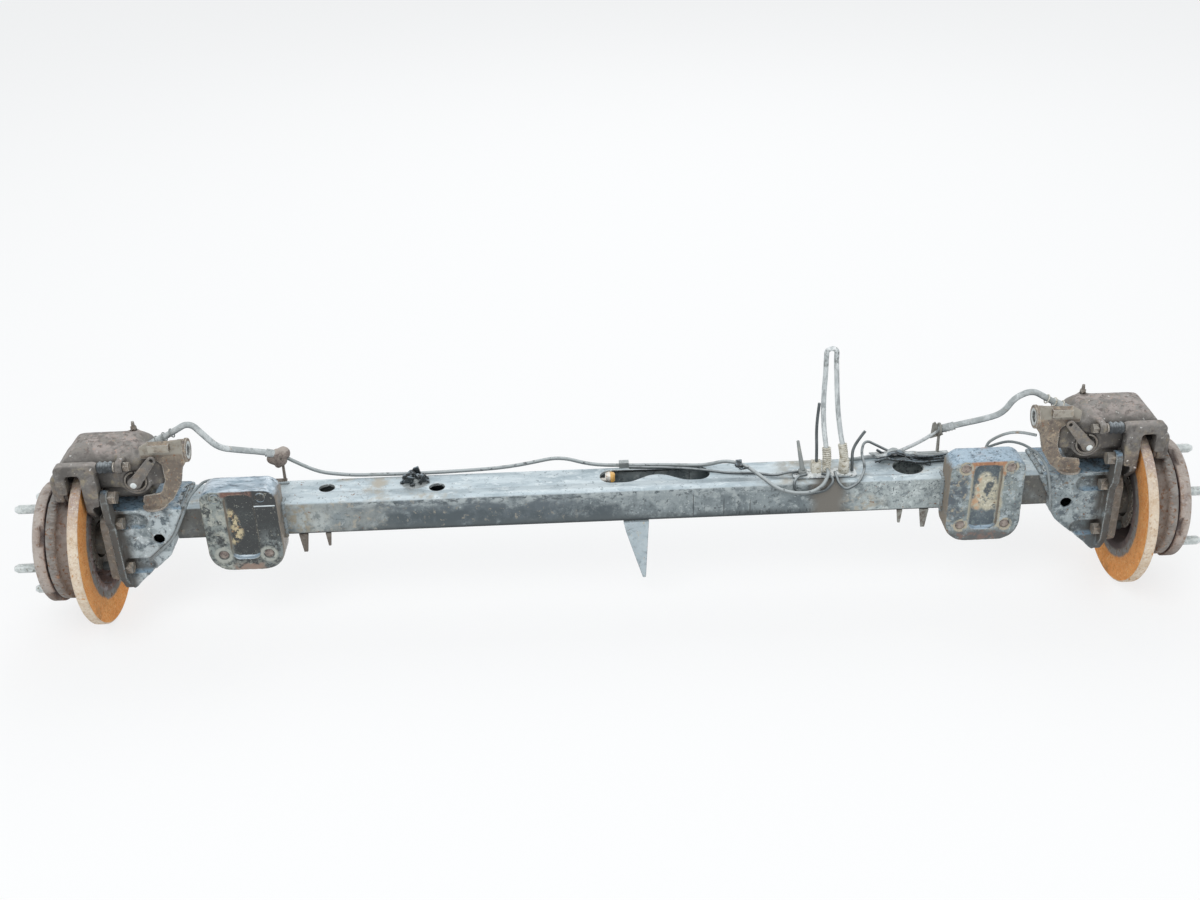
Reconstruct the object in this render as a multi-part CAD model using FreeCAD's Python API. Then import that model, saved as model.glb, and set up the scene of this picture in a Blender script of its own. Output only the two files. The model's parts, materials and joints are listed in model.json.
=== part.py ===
"""Dead rear axle beam of a van, taken off the vehicle with both wheel ends on it.

X runs along the axle, Y away from the spring seats, Z up. The origin is on the floor under the middle
of the beam, and the hub axis lies half a disc diameter above it. Lengths are in millimetres.
Everything at the +X end is drawn once and mirrored for the -X end, apart from the flexible lines.
"""
import FreeCAD
import Part
import math
import os

from FreeCAD import Vector

# Wheel end, measured outwards from the middle of the beam
half_track = 835.0
camber_deg = 0.5
disc_dia = 280.0
disc_thick = 16.0
disc_chamfer = 1.5
hat_bore_r = 75.0
hat_wall = 12.0
hat_neck_len = 35.0
hat_flange_r = 95.0
hat_flange_thick = 14.0
hat_web_thick = 11.0
hub_step_r = 60.0
hub_step_len = 3.0
hub_flange_r = 98.5
hub_flange_thick = 17.0
hub_wall = 8.0
hub_dish_depth = 4.0
scallop_r = 26.0
scallop_depth = 6.0
pilot_r = 32.5
pilot_len = 12.0
stud_count = 5
stud_pcd = 160.0
stud_r = 7.0
stud_reach = 38.0
stud_knurl_r = 7.8
stud_head_r = 10.0
stud_head_len = 6.0
stud_hole_gap = 0.15
right_hub_turn_deg = 36.0

# Bearing and stub axle
seat_r = 18.0
bearing_len = 38.0
inner_ring_wall = 5.0
roller_dia = 6.4
outer_ring_wall = 6.5
bearing_run_gap = 0.05
bearing_inset = 21.0
encoder_r = 50.0
encoder_thick = 3.0
encoder_teeth = 24
encoder_gap = 1.0
sensor_r = 7.5
sensor_angle_deg = 250.0
stub_root_r = 33.0
stub_neck_r = 25.0
thread_r = 11.0
thread_len = 19.0
nut_flats = 36.0
nut_len = 12.0
nut_washer_len = 3.0
cap_reach = 24.0
cap_wall = 1.5

# Mounting flange at the end of the knuckle
end_plate_thick = 12.0
stub_flange_thick = 12.0
flange_to_disc = 17.0
flange_bolt_y = 50.0
flange_bolt_top = 57.0
flange_bolt_low = -27.0
flange_bolt_flats = 18.0
flange_bolt_head = 11.0
bolt_pocket_r = 15.0
bolt_pocket_len = 33.0
bolt_pocket_wall = 4.0
end_plate_half = 62.0
end_plate_top = 79.0
end_plate_low = -74.0

# Beam
beam_depth = 80.0
beam_height = 60.0
beam_wall = 5.0
beam_corner_r = 8.0
beam_rise = 44.7
beam_end_gap = 89.0
knuckle_lap = 20.0
tab_from_disc = (330.0, 370.0)
tab_low = (-19.0, -9.0)
tab_w = (15.0, 9.0)
tab_thick = 4.0
dogbone_left = -22.0
dogbone_right = 158.0
dogbone_front = -14.0
dogbone_back = 28.0
dogbone_end_r = 20.0
dogbone_bulge_x = 72.0
dogbone_bulge = 28.0
dogbone_bulge_half = 45.0
dogbone_bulge_r = 35.0

# Spring seats
seat_from_disc = 242.0
seat_w = 122.0
seat_h = 150.0
seat_low = -30.0
seat_depth = 46.0
seat_stand = 30.0
seat_wall = 5.0
seat_low_corner = 35.0
seat_top_corner = 22.0
seat_bolt_x = 72.0
seat_bolt_z = 105.0
seat_bolt_low = 1.0
seat_hole_r = 7.5
channel_w = 45.0
channel_depth = 8.0
channel_low = -6.0
channel_top = 110.0
channel_r = 12.0

# Knuckle box
knuckle_wall = 6.0
knuckle_hole_r = 8.5
knuckle_hole_from_disc = 100.0
knuckle_hole_h = 22.0

# Caliper, its carrier and its pads; heights are measured from the disc's rim
pad_gap = 0.8
lining_thick = 9.0
backplate_thick = 5.0
pad_half = 49.7
pad_slide_gap = 0.3
lining_half = 42.0
lining_height = 39.0
lining_below_rim = 3.0
carrier_arm_w = 20.0
carrier_arm_h = 19.0
guide_y = 60.0
guide_above_rim = 25.5
rear_guide_drop = 22.0
guide_r = 5.0
guide_run_gap = 0.05
guide_pin_in_arm = 40.0
boot_len = 24.0
boot_r = 10.0
boot_valley_r = 7.6
boot_bore_r = 5.6
carrier_bolt_below_rim = 29.0
carrier_toe = 17.0
carrier_bolt_flats = 19.0
carrier_bolt_head = 12.0
piston_below_rim = 24.0
piston_r = 27.0
piston_len = 40.0
piston_run_gap = 0.05
barrel_wall = 7.0
barrel_back_from_disc = 97.0
bridge_rim_gap = 6.0
bridge_half = 48.0
bridge_thick = 44.0
finger_thick = 20.0
finger_reach = 43.0
finger_notch_r = 11.0
finger_notch_reach = 28.0
ear_thick = 13.0
bleed_y = 30.0

# Hand brake lever on the caliper
lever_from_disc = 84.0
lever_below_rim = 7.0
lever_shaft_r = 7.0
lever_thick = 6.5
lever_reach = 51.0
lever_lean_deg = 40.0
lever_boss_r = 24.0
lever_boss_front = 52.0
lever_boss_back = 30.0
lever_gap = 0.4

# Cable bracket beside the lever
strap_thick = 4.0
ring_from_disc = 174.0
ring_above_rim = 48.0
ring_r = 19.0
ring_hole_r = 9.0
ring_thick = 6.0

# Brake hoses and lines
hose_r = 5.0
ferrule_r = 6.6
ferrule_len = 24.0
hose_seat_gap = 0.1
hose_lead = 37.0
pipe_r = 3.0
harness_r = 2.2
stub_cable_r = 2.5
post_from_disc = 297.0
post_y = 35.0
post_h = 123.0
post_w = 16.0
post_thick = 3.0
bracket_y = -16.0
bracket_stand = 5.0
bracket_thick = 3.0
pipe_y = 36.1
clamp_x = (11.0, 27.0)
loose_plug = (-5.0, 8.0, 8.0)
loose_plug_head = 4.0
loose_plug_bite = 8.0
loose_plug_thick = 3.0
large_plug_head_r = 11.0
large_plug_head = 7.0
fitting_x = (306.0, 345.0, 373.0)
fitting_stub_r = 7.0
fitting_left_r = 6.5
fitting_right_r = 8.5

# Places that follow from the sizes above
axle_z = disc_dia / 2
rim = disc_dia / 2
lining_outer_r = rim - lining_below_rim
lining_inner_r = lining_outer_r - lining_height
guide_h = rim + guide_above_rim
carrier_bolt_h = rim - carrier_bolt_below_rim
piston_h = rim - piston_below_rim
bridge_under = rim + bridge_rim_gap
bridge_top = bridge_under + bridge_thick
finger_low = rim - finger_reach
lever_h = rim - lever_below_rim
ring_h = rim + ring_above_rim
disc_in = half_track
disc_out = disc_in + disc_thick
knuckle_hole_x = disc_in - knuckle_hole_from_disc
barrel_back = disc_in - barrel_back_from_disc
lever_x = disc_in - lever_from_disc
seat_centre = disc_in - seat_from_disc
post_x = disc_in - post_from_disc
ring_x = disc_in - ring_from_disc
ring_y = lever_boss_front + lever_gap + lever_thick / 2
strap_y = ring_y - ring_hole_r - strap_thick / 2 - 0.6
hat_neck_r = hat_bore_r + hat_wall
hat_flange_in = disc_out + hat_neck_len
hat_flange_out = hat_flange_in + hat_flange_thick
hub_face_in = hat_flange_out + hub_step_len
hub_face_out = hub_face_in + hub_flange_thick
outer_ring_r = seat_r + inner_ring_wall + roller_dia + 2 * bearing_run_gap + outer_ring_wall
hub_barrel_r = outer_ring_r + hub_wall
bearing_in = disc_in + bearing_inset
bearing_out = bearing_in + bearing_len
stub_face = disc_in - flange_to_disc
plate_face = stub_face - stub_flange_thick
plate_back = plate_face - end_plate_thick
beam_top = beam_rise + beam_height / 2
beam_under = beam_rise - beam_height / 2
beam_front = -beam_depth / 2
beam_end = plate_back - beam_end_gap
knuckle_start = beam_end - knuckle_lap
seat_front = beam_front - seat_stand
pad_in_face = disc_in - pad_gap
pad_out_face = disc_out + pad_gap
pad_in_back = pad_in_face - lining_thick - backplate_thick
pad_out_back = pad_out_face + lining_thick + backplate_thick
carrier_half = pad_half + pad_slide_gap
carrier_out = pad_out_back + 3.0
carrier_in = plate_face
finger_in = pad_out_back
finger_out = finger_in + finger_thick
guides = ((-guide_y, guide_h), (guide_y, guide_h - rear_guide_drop))
boot_out = carrier_in - 5.0
boot_in = boot_out - boot_len
ear_out = boot_in - 3.0
cap_r = pilot_r - 3.0
bleed_x = lever_x + 13.0
bleed_seat = bridge_top - 6.5
sensor_ring_r = encoder_r - 4.0
sensor_place = (sensor_ring_r * math.cos(math.radians(sensor_angle_deg)),
                sensor_ring_r * math.sin(math.radians(sensor_angle_deg)))


def at(x, y, h):
    """Point at height h above the hub axis."""
    return Vector(x, y, axle_z + h)


def box(x0, x1, y0, y1, h0, h1):
    return Part.makeBox(x1 - x0, y1 - y0, h1 - h0, at(x0, y0, h0))


def rod_x(r, x0, x1, y, h):
    return Part.makeCylinder(r, x1 - x0, at(x0, y, h), Vector(1, 0, 0))


def rod_y(r, y0, y1, x, h):
    return Part.makeCylinder(r, y1 - y0, at(x, y0, h), Vector(0, 1, 0))


def rod_z(r, h0, h1, x, y):
    return Part.makeCylinder(r, h1 - h0, at(x, y, h0), Vector(0, 0, 1))


def join(first, *others):
    shape = first
    for other in others:
        shape = shape.fuse(other)
    return shape.removeSplitter()


def take(shape, *tools):
    for tool in tools:
        shape = shape.cut(tool)
    return shape


def group(solids):
    return Part.Compound(solids)


def plate_outline(corners, place):
    """Flat face through corners (u, v, radius); place turns (u, v) into a point."""
    points = [place(c[0], c[1]) for c in corners]
    radii = [c[2] if len(c) > 2 else 0.0 for c in corners]
    edges = []
    ends = []
    for i, point in enumerate(points):
        if radii[i] == 0:
            ends.append((point, None, point))
            continue
        back = (points[i - 1] - point).normalize()
        ahead = (points[(i + 1) % len(points)] - point).normalize()
        half = back.getAngle(ahead) / 2
        reach = radii[i] / math.tan(half)
        middle = (back + ahead).normalize()
        top = point + middle * (radii[i] / math.sin(half) - radii[i])
        ends.append((point + back * reach, top, point + ahead * reach))
    for i, (start, top, end) in enumerate(ends):
        if top is not None:
            edges.append(Part.Arc(start, top, end).toShape())
        following = ends[(i + 1) % len(ends)][0]
        if (following - end).Length > 1e-6:
            edges.append(Part.makeLine(end, following))
    return Part.Face(Part.Wire(edges))


def slab_xz(corners, y0, y1):
    """Plate whose outline (x, height) is seen from the front."""
    face = plate_outline(corners, lambda u, v: at(u, y0, v))
    return face.extrude(Vector(0, y1 - y0, 0))


def slab_yz(corners, x0, x1):
    """Plate whose outline (y, height) is seen from the end."""
    face = plate_outline(corners, lambda u, v: at(x0, u, v))
    return face.extrude(Vector(x1 - x0, 0, 0))


def slab_xy(corners, h0, h1):
    """Plate whose outline (x, y) is seen from above."""
    face = plate_outline(corners, lambda u, v: at(u, v, h0))
    return face.extrude(Vector(0, 0, h1 - h0))


def turned(corners, y=0.0, h=0.0):
    """Turned piece from its half section (x, radius) about an axis along X."""
    face = plate_outline(corners, lambda u, v: at(u, y, h + v))
    return face.revolve(at(0, y, h), Vector(1, 0, 0), 360)


def hexagon(flats, length, start, direction):
    """Hexagonal prism from start along direction."""
    corner_r = flats / math.sqrt(3)
    ring = [Vector(corner_r * math.cos(math.radians(60 * i)), corner_r * math.sin(math.radians(60 * i)), 0)
            for i in range(6)]
    solid = Part.Face(Part.makePolygon(ring + ring[:1])).extrude(Vector(0, 0, length))
    solid.Placement = FreeCAD.Placement(start, FreeCAD.Rotation(Vector(0, 0, 1), direction))
    return solid


def leaned(shape):
    """A wheel end's piece turned to the wheel's camber, about the knuckle's root; the vehicle's top is -Y."""
    shape = shape.copy()
    shape.rotate(at(knuckle_start, 0, 0), Vector(0, 0, 1), -camber_deg)
    return shape


def lean_points(route):
    """The points of a line that lie on a wheel end, moved with its camber."""
    lean = FreeCAD.Rotation(Vector(0, 0, 1), -camber_deg)
    moved = []
    for x, y, h in route:
        side = math.copysign(1.0, x)
        if abs(x) > knuckle_start:
            place = lean.multVec(Vector(abs(x) - knuckle_start, y, 0))
            x, y = side * (knuckle_start + place.x), place.y
        moved.append((x, y, h))
    return moved


def mirrored(shape):
    """The same piece at the other end of the axle."""
    return shape.mirror(Vector(0, 0, 0), Vector(1, 0, 0))


def path_of(points):
    """Straight runs joined by tangent arcs, each as large as its two runs allow; also the radii."""
    edges = []
    radii = []
    start = points[0]
    for before, corner, after in zip(points, points[1:], points[2:]):
        back = before - corner
        ahead = after - corner
        reach = 0.45 * min(back.Length, ahead.Length)
        back.normalize()
        ahead.normalize()
        half = back.getAngle(ahead) / 2
        radius = reach * math.tan(half)
        middle = (back + ahead).normalize()
        arc_start = corner + back * reach
        arc_end = corner + ahead * reach
        arc_top = corner + middle * (radius / math.sin(half) - radius)
        edges.append(Part.LineSegment(start, arc_start).toShape())
        edges.append(Part.Arc(arc_start, arc_top, arc_end).toShape())
        start = arc_end
        radii.append(radius)
    edges.append(Part.LineSegment(start, points[-1]).toShape())
    return Part.Wire(edges), radii


def tube(name, radius, points):
    """Solid round line along points (x, y, height)."""
    places = [at(*p) for p in points]
    wire, radii = path_of(places)
    ring = Part.Wire(Part.makeCircle(radius, places[0], places[1] - places[0]))
    solid = wire.makePipe(Part.Face(ring))
    if solid.ShapeType != "Solid":
        solid = solid.Solids[0]
    share = solid.Volume / (math.pi * radius**2 * wire.Length)
    print(name, "length", round(wire.Length), "bends", [round(r) for r in radii], "volume share", round(share, 3))
    return solid


# Beam tube
def beam_section(grow):
    """Rounded rectangle of the beam, grown or shrunk by grow."""
    y = beam_depth / 2 + grow
    low = beam_under - grow
    high = beam_top + grow
    r = max(beam_corner_r + grow, 1.0)
    return [(-y, low, r), (y, low, r), (y, high, r), (-y, high, r)]


def dogbone(h0, h1):
    """Long hole whose front edge bulges back in the middle."""
    return slab_xy([(dogbone_left, dogbone_front, dogbone_end_r),
                    (dogbone_bulge_x - dogbone_bulge_half, dogbone_front, dogbone_bulge_r),
                    (dogbone_bulge_x, dogbone_front + dogbone_bulge, dogbone_bulge_r),
                    (dogbone_bulge_x + dogbone_bulge_half, dogbone_front, dogbone_bulge_r),
                    (dogbone_right, dogbone_front, dogbone_end_r), (dogbone_right, dogbone_back, dogbone_end_r),
                    (dogbone_left, dogbone_back, dogbone_end_r)], h0, h1)


top_holes = [(-466.0, 6.0, 13.0), (-324.0, 14.0, 22.0), (-286.5, -5.0, 13.0), (482.0, 0.0, 25.0)]
large_plug_hole = top_holes[1]


def beam_tube():
    outer = slab_yz(beam_section(0.0), -beam_end, beam_end)
    inner = slab_yz(beam_section(-beam_wall), -beam_end - 1, beam_end + 1)
    h0 = beam_top - beam_wall - 1
    h1 = beam_top + 1
    holes = [rod_z(r, h0, h1, x, y) for x, y, r in top_holes]
    return take(outer, inner, dogbone(h0, h1), *holes)


# Spring seats
def spring_seat():
    x0 = seat_centre - seat_w / 2
    x1 = seat_centre + seat_w / 2
    high = seat_low + seat_h

    def tray(inset, y0, y1):
        return slab_xz([(x0 + inset, seat_low + inset, seat_low_corner - inset),
                        (x1 - inset, seat_low + inset, seat_low_corner - inset),
                        (x1 - inset, high - inset, seat_top_corner - inset),
                        (x0 + inset, high - inset, seat_top_corner - inset)], y0, y1)

    shell = tray(0.0, seat_front, seat_front + seat_depth)
    front_edges = [e for e in shell.Edges
                   if all(abs(v.Point.y - seat_front) < 1e-6 for v in e.Vertexes)]
    shell = shell.makeFillet(seat_wall, front_edges)
    hollow = tray(seat_wall, seat_front + seat_wall, seat_front + seat_depth + 1)
    shell = shell.cut(hollow)

    def channel(grow, y0, y1):
        half = channel_w / 2 + grow
        r = channel_r + grow
        return slab_xz([(seat_centre - half, channel_low - grow, r), (seat_centre + half, channel_low - grow, r),
                        (seat_centre + half, channel_top + grow, r), (seat_centre - half, channel_top + grow, r)],
                       y0, y1)

    shell = join(shell, channel(seat_wall, seat_front + seat_wall / 2, seat_front + seat_wall + channel_depth))
    shell = shell.cut(channel(0.0, seat_front - 1, seat_front + channel_depth))
    bolts = [rod_y(seat_hole_r, seat_front - 1, seat_front + 2 * seat_wall, seat_centre + sx * seat_bolt_x / 2, h)
             for sx in (-1, 1) for h in (seat_bolt_low, seat_bolt_low + seat_bolt_z)]
    beam_way = slab_yz(beam_section(0.0), x0 - 1, x1 + 1)
    return take(shell, beam_way, *bolts)


# Knuckle: fabricated box between the beam and the stub axle
def bolt_pockets(r):
    """Round-ended pockets, grown to radius r, in which the heads of the flange bolts lie."""
    pockets = []
    for y in (-flange_bolt_y, flange_bolt_y):
        for h in (flange_bolt_top, flange_bolt_low):
            x = plate_back - bolt_pocket_len
            pockets.append(join(rod_x(r, x, plate_back, y, h), Part.makeSphere(r, at(x, y, h))))
    return pockets


def knuckle():
    half = beam_depth / 2 + knuckle_wall
    end = plate_back
    start = knuckle_start
    low = end_plate_low

    def outline(inset):
        i = inset
        return [(start + i, end_plate_top - 3 - i, 6.0),
                (start + 15 + i, beam_rise + 5, 30.0),
                (start + 27 + i, beam_under + i, 12.0),
                (start + 35 + i, -10 + i, 12.0),
                (start + 62 + i / 2, -33 + i, 25.0),
                (start + 88 + i / 2, -55 + i, 20.0),
                (end - 4, low + 2 + i, 4.0),
                (end, low + 6 + i, 0.0),
                (end, end_plate_top - 1 - i, 0.0)]

    solid_box = slab_xz(outline(0.0), -half, half)
    hollow = slab_xz(outline(knuckle_wall), -half + knuckle_wall, half - knuckle_wall)
    shell = solid_box.cut(hollow)
    low_y = end_plate_half
    ear = guide_y + 12.0
    ear_top = carrier_bolt_h + 12.0
    half_plate = [(ear, ear_top, 11.0), (ear, end_plate_top - 8, 8.0), (low_y, end_plate_top - 24, 6.0),
                  (low_y, end_plate_low + 32, 12.0), (low_y - 22, end_plate_low, 12.0)]
    other = [(-y, h, r) for y, h, r in reversed(half_plate)]
    notch = carrier_half
    plate = slab_yz(half_plate + other + [(-notch, ear_top, 8.0), (-notch, end_plate_top, 5.0),
                                          (notch, end_plate_top, 5.0), (notch, ear_top, 8.0)],
                    plate_back, plate_face)
    shell = join(shell, plate)
    shell = join(shell, *[p.common(solid_box) for p in bolt_pockets(bolt_pocket_r + bolt_pocket_wall)])
    beam_way = slab_yz(beam_section(0.0), start - 5, beam_end)
    front_hole = rod_y(knuckle_hole_r, -half - 1, -half + knuckle_wall + 1, knuckle_hole_x, knuckle_hole_h)
    bolt_holes = [rod_x(6.2, plate_back - 1, plate_face + 1, sy * flange_bolt_y, h)
                  for sy in (-1, 1) for h in (flange_bolt_top, flange_bolt_low)]
    ear_holes = [rod_x(7.2, plate_back - 1, plate_face + 1, sy * guide_y, carrier_bolt_h) for sy in (-1, 1)]
    centre = rod_x(stub_neck_r, plate_back - 1, plate_face + 1, 0, 0)
    sensor_way = rod_x(sensor_r + 0.2, plate_back - 1, plate_face + 1, *sensor_place)
    pockets = bolt_pockets(bolt_pocket_r)
    shell = take(shell, front_hole, *pockets, *bolt_holes, *ear_holes, centre, sensor_way)
    return take(leaned(shell), beam_way)


# Stub axle with its flange
def stub_axle():
    top = flange_bolt_top + 13.0
    low = flange_bolt_low - 33.0
    y = end_plate_half - 2.0
    flange = slab_yz([(-y, top, 18.0), (-y, low + 20, 16.0), (-y + 26, low, 16.0), (y - 26, low, 16.0),
                      (y, low + 20, 16.0), (y, top, 18.0)], plate_face, stub_face)
    spindle = turned([(plate_back, 0), (plate_back, stub_neck_r), (stub_face, stub_neck_r),
                      (stub_face, stub_root_r), (stub_face + 8, stub_neck_r + 2), (bearing_in, stub_neck_r),
                      (bearing_in, seat_r), (bearing_out, seat_r), (bearing_out, thread_r),
                      (bearing_out + thread_len - 1, thread_r), (bearing_out + thread_len, thread_r - 1),
                      (bearing_out + thread_len, 0)])
    bolt_holes = [rod_x(6.0, plate_face - 1, stub_face + 1, sy * flange_bolt_y, h)
                  for sy in (-1, 1) for h in (flange_bolt_top, flange_bolt_low)]
    sensor_way = rod_x(sensor_r + 0.2, plate_face - 1, stub_face + 1, *sensor_place)
    return take(join(flange, spindle), *bolt_holes, sensor_way)


def flange_bolts():
    """Hex bolts through the end plate into the stub axle's flange."""
    bolts = []
    for y in (-flange_bolt_y, flange_bolt_y):
        for h in (flange_bolt_low, flange_bolt_top):
            head = hexagon(flange_bolt_flats, flange_bolt_head, at(plate_back - flange_bolt_head, y, h), Vector(1, 0, 0))
            shank = rod_x(6.0, plate_back, stub_face, y, h)
            bolts.append(join(head, shank))
    return bolts


# Bearing
def bearing_inner_ring():
    r1 = seat_r + inner_ring_wall
    r2 = r1 + roller_dia
    rib = 3.0
    return turned([(bearing_in, seat_r), (bearing_out, seat_r), (bearing_out, r1), (bearing_out - rib, r1),
                   (bearing_out - rib, r2), (bearing_in + rib, r2), (bearing_in + rib, r1), (bearing_in, r1)])


def bearing_outer_ring():
    """Outer ring with the toothed ring of the speed sensor pressed over its inboard end."""
    bore = outer_ring_r - outer_ring_wall
    start = bearing_in + 2.0
    ring = turned([(start, bore), (bearing_out, bore), (bearing_out, outer_ring_r), (start, outer_ring_r)])
    tooth_in = start - 14.0
    cup = turned([(tooth_in, bore + 2), (tooth_in, encoder_r), (tooth_in + encoder_thick, encoder_r),
                  (tooth_in + encoder_thick, outer_ring_r), (start, outer_ring_r), (start, bore + 2)])
    pitch = 360.0 / encoder_teeth
    gap = box(tooth_in - 1, tooth_in + encoder_thick + 1, -2.2, 2.2, encoder_r - 6, encoder_r + 1)
    gaps = []
    for i in range(encoder_teeth):
        one = gap.copy()
        one.rotate(at(0, 0, 0), Vector(1, 0, 0), i * pitch)
        gaps.append(one)
    return join(ring, cup.cut(group(gaps)))


def hub_nut():
    washer = rod_x(thread_r + 8, bearing_out, bearing_out + nut_washer_len, 0, 0)
    nut = hexagon(nut_flats, nut_len, at(bearing_out + nut_washer_len, 0, 0), Vector(1, 0, 0))
    return take(join(washer, nut), rod_x(thread_r, bearing_out - 1, bearing_out + 30, 0, 0))


# Hub, disc and studs
def stud_places():
    """Stud places (y, height) on their circle, one of them at the very front."""
    step = 2 * math.pi / stud_count
    return [(-stud_pcd / 2 * math.cos(step * i), stud_pcd / 2 * math.sin(step * i)) for i in range(stud_count)]


def wheel_hub():
    barrel_in = bearing_in - 2.0
    dish_in = hub_barrel_r + 4
    dish_out = stud_pcd / 2 - stud_r - 6
    body = turned([(barrel_in, outer_ring_r), (barrel_in, hub_barrel_r), (hat_flange_out, hub_barrel_r),
                   (hat_flange_out, hub_step_r), (hub_face_in, hub_step_r), (hub_face_in, hub_flange_r - 1.5),
                   (hub_face_in + 1.5, hub_flange_r), (hub_face_out - 1.5, hub_flange_r),
                   (hub_face_out, hub_flange_r - 1.5), (hub_face_out, dish_out),
                   (hub_face_out - hub_dish_depth, dish_out - 2), (hub_face_out - hub_dish_depth, dish_in),
                   (hub_face_out, dish_in - 2), (hub_face_out, pilot_r),
                   (hub_face_out + pilot_len, pilot_r), (hub_face_out + pilot_len, cap_r),
                   (bearing_out, cap_r), (bearing_out, outer_ring_r)])
    studs = [rod_x(stud_knurl_r + stud_hole_gap, hat_flange_out - 1, hub_face_out + 1, y, h)
             for y, h in stud_places()]
    scallops = []
    reach = hub_flange_r + scallop_r - 9.0
    for i in range(stud_count):
        turn = 2 * math.pi * (i + 0.5) / stud_count
        scallops.append(rod_x(scallop_r, hub_face_in - 1, hub_face_in + scallop_depth,
                              -reach * math.cos(turn), reach * math.sin(turn)))
    return take(body, *studs, *scallops)


def grease_cap():
    x0 = hub_face_in
    x1 = hub_face_out + cap_reach
    return turned([(x0, cap_r - cap_wall), (x0, cap_r), (x1 - 6, cap_r, 4.0), (x1, cap_r - 12, 4.0), (x1, 0),
                   (x1 - cap_wall, 0), (x1 - cap_wall, cap_r - 13, 3.0), (x1 - 7, cap_r - cap_wall, 3.0)])


def brake_disc():
    c = disc_chamfer
    body = turned([(disc_in, hat_bore_r), (disc_in, rim - c), (disc_in + c, rim), (disc_out - c, rim),
                   (disc_out, rim - c), (disc_out, hat_neck_r + 4), (disc_out + 4, hat_neck_r),
                   (hat_flange_in, hat_neck_r), (hat_flange_in, hat_flange_r), (hat_flange_out, hat_flange_r),
                   (hat_flange_out, hub_barrel_r + 0.2), (hat_flange_out - hat_web_thick, hub_barrel_r + 0.2),
                   (hat_flange_out - hat_web_thick, hat_bore_r)])
    floor = hub_face_in - stud_head_len - 0.5
    pockets = [rod_x(stud_head_r + 0.5, floor, hat_flange_out + 1, y, h) for y, h in stud_places()]
    return take(body, *pockets)


def wheel_studs():
    """Studs pressed into the hub flange from behind; their heads lie in pockets of the disc's hat."""
    base = hub_face_in
    tip = hub_face_out + stud_reach
    return group([turned([(base - stud_head_len, 0), (base - stud_head_len, stud_head_r), (base, stud_head_r),
                          (base, stud_knurl_r), (hub_face_out, stud_knurl_r), (hub_face_out, stud_r),
                          (tip - 5, stud_r), (tip, stud_r - 2.5), (tip, 0)], y, h)
                  for y, h in stud_places()])


# Speed sensor
def speed_sensor():
    y, h = sensor_place
    tip = bearing_in + 2.0 - 14.0 - encoder_gap
    body = rod_x(sensor_r, plate_back - 6, tip, y, h)
    flange = slab_yz([(y - 11, h - 11, 5.0), (y + 20, h - 11, 5.0), (y + 20, h + 11, 5.0), (y - 11, h + 11, 5.0)],
                     plate_back - 6, plate_back)
    return join(body, flange)


# Caliper carrier
def caliper_carrier():
    leg_in = carrier_in
    leg_out = pad_in_face - 4.2
    sides = []
    foot = carrier_bolt_h - 12.0
    toe = rim - carrier_toe
    for y, h in guides:
        y0 = y - carrier_arm_w / 2
        y1 = y + carrier_arm_w / 2
        under = h - carrier_arm_h / 2
        over = h + carrier_arm_h / 2
        profile = slab_xz([(leg_in, foot, 8.0), (leg_out, foot, 8.0), (leg_out, under, 5.0),
                           (pad_out_face + 1, under, 5.0), (pad_out_face + 1, toe, 3.0), (carrier_out, toe, 5.0),
                           (carrier_out, over, 12.0), (leg_in, over, 3.0)], y0, y1)
        crown = slab_yz([(y0, foot - 8), (y1, foot - 8), (y1, over, 8.0), (y0, over, 8.0)],
                        leg_in - 1, carrier_out + 1)
        sleeve = rod_x(boot_r - 1.5, boot_out, leg_in + 2, y, h)
        pin_way = rod_x(guide_r + guide_run_gap, boot_out - 1, leg_in + guide_pin_in_arm + 2, y, h)
        sides.append(take(join(profile.common(crown), sleeve), pin_way))
    web_in = stub_face + 1.0
    low = piston_h - piston_r - 21.0
    span = carrier_half + carrier_arm_w
    web = slab_yz([(-span, carrier_bolt_h, 0), (-span, carrier_bolt_h - 20, 10.0), (-carrier_half + 2, low, 12.0),
                   (carrier_half - 2, low, 12.0), (span, carrier_bolt_h - 20, 10.0), (span, carrier_bolt_h, 0),
                   (carrier_half, carrier_bolt_h, 0), (carrier_half, piston_h - piston_r - 4, 14.0),
                   (-carrier_half, piston_h - piston_r - 4, 14.0), (-carrier_half, carrier_bolt_h, 0)],
                  web_in, leg_out)
    bolt_ways = [rod_x(6.2, leg_in - 1, leg_out - 4, y, carrier_bolt_h) for y in (-guide_y, guide_y)]
    return take(join(sides[0], sides[1], web), *bolt_ways)


def carrier_bolts():
    bolts = []
    for y in (-guide_y, guide_y):
        x0 = plate_back
        head = hexagon(carrier_bolt_flats, carrier_bolt_head, at(x0 - carrier_bolt_head, y, carrier_bolt_h),
                       Vector(1, 0, 0))
        shank = rod_x(6.2, x0, carrier_in + 14, y, carrier_bolt_h)
        bolts.append(join(head, shank))
    return bolts


# Guide pins and their rubber boots
def guide_pins():
    """Pin with its collar, clamped to the caliper's ear by a hex bolt."""
    pins = []
    for y, h in guides:
        pin = turned([(ear_out, 0), (ear_out, guide_r + 2.5), (boot_in, guide_r + 2.5), (boot_in, guide_r),
                      (carrier_in + guide_pin_in_arm, guide_r), (carrier_in + guide_pin_in_arm, 0)], y, h)
        head_in = ear_out - ear_thick - 9.0
        head = hexagon(14.0, 9.0, at(head_in, y, h), Vector(1, 0, 0))
        shank = rod_x(4.0, head_in + 8, ear_out, y, h)
        pins.append(join(pin, shank, head))
    return group(pins)


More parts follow.
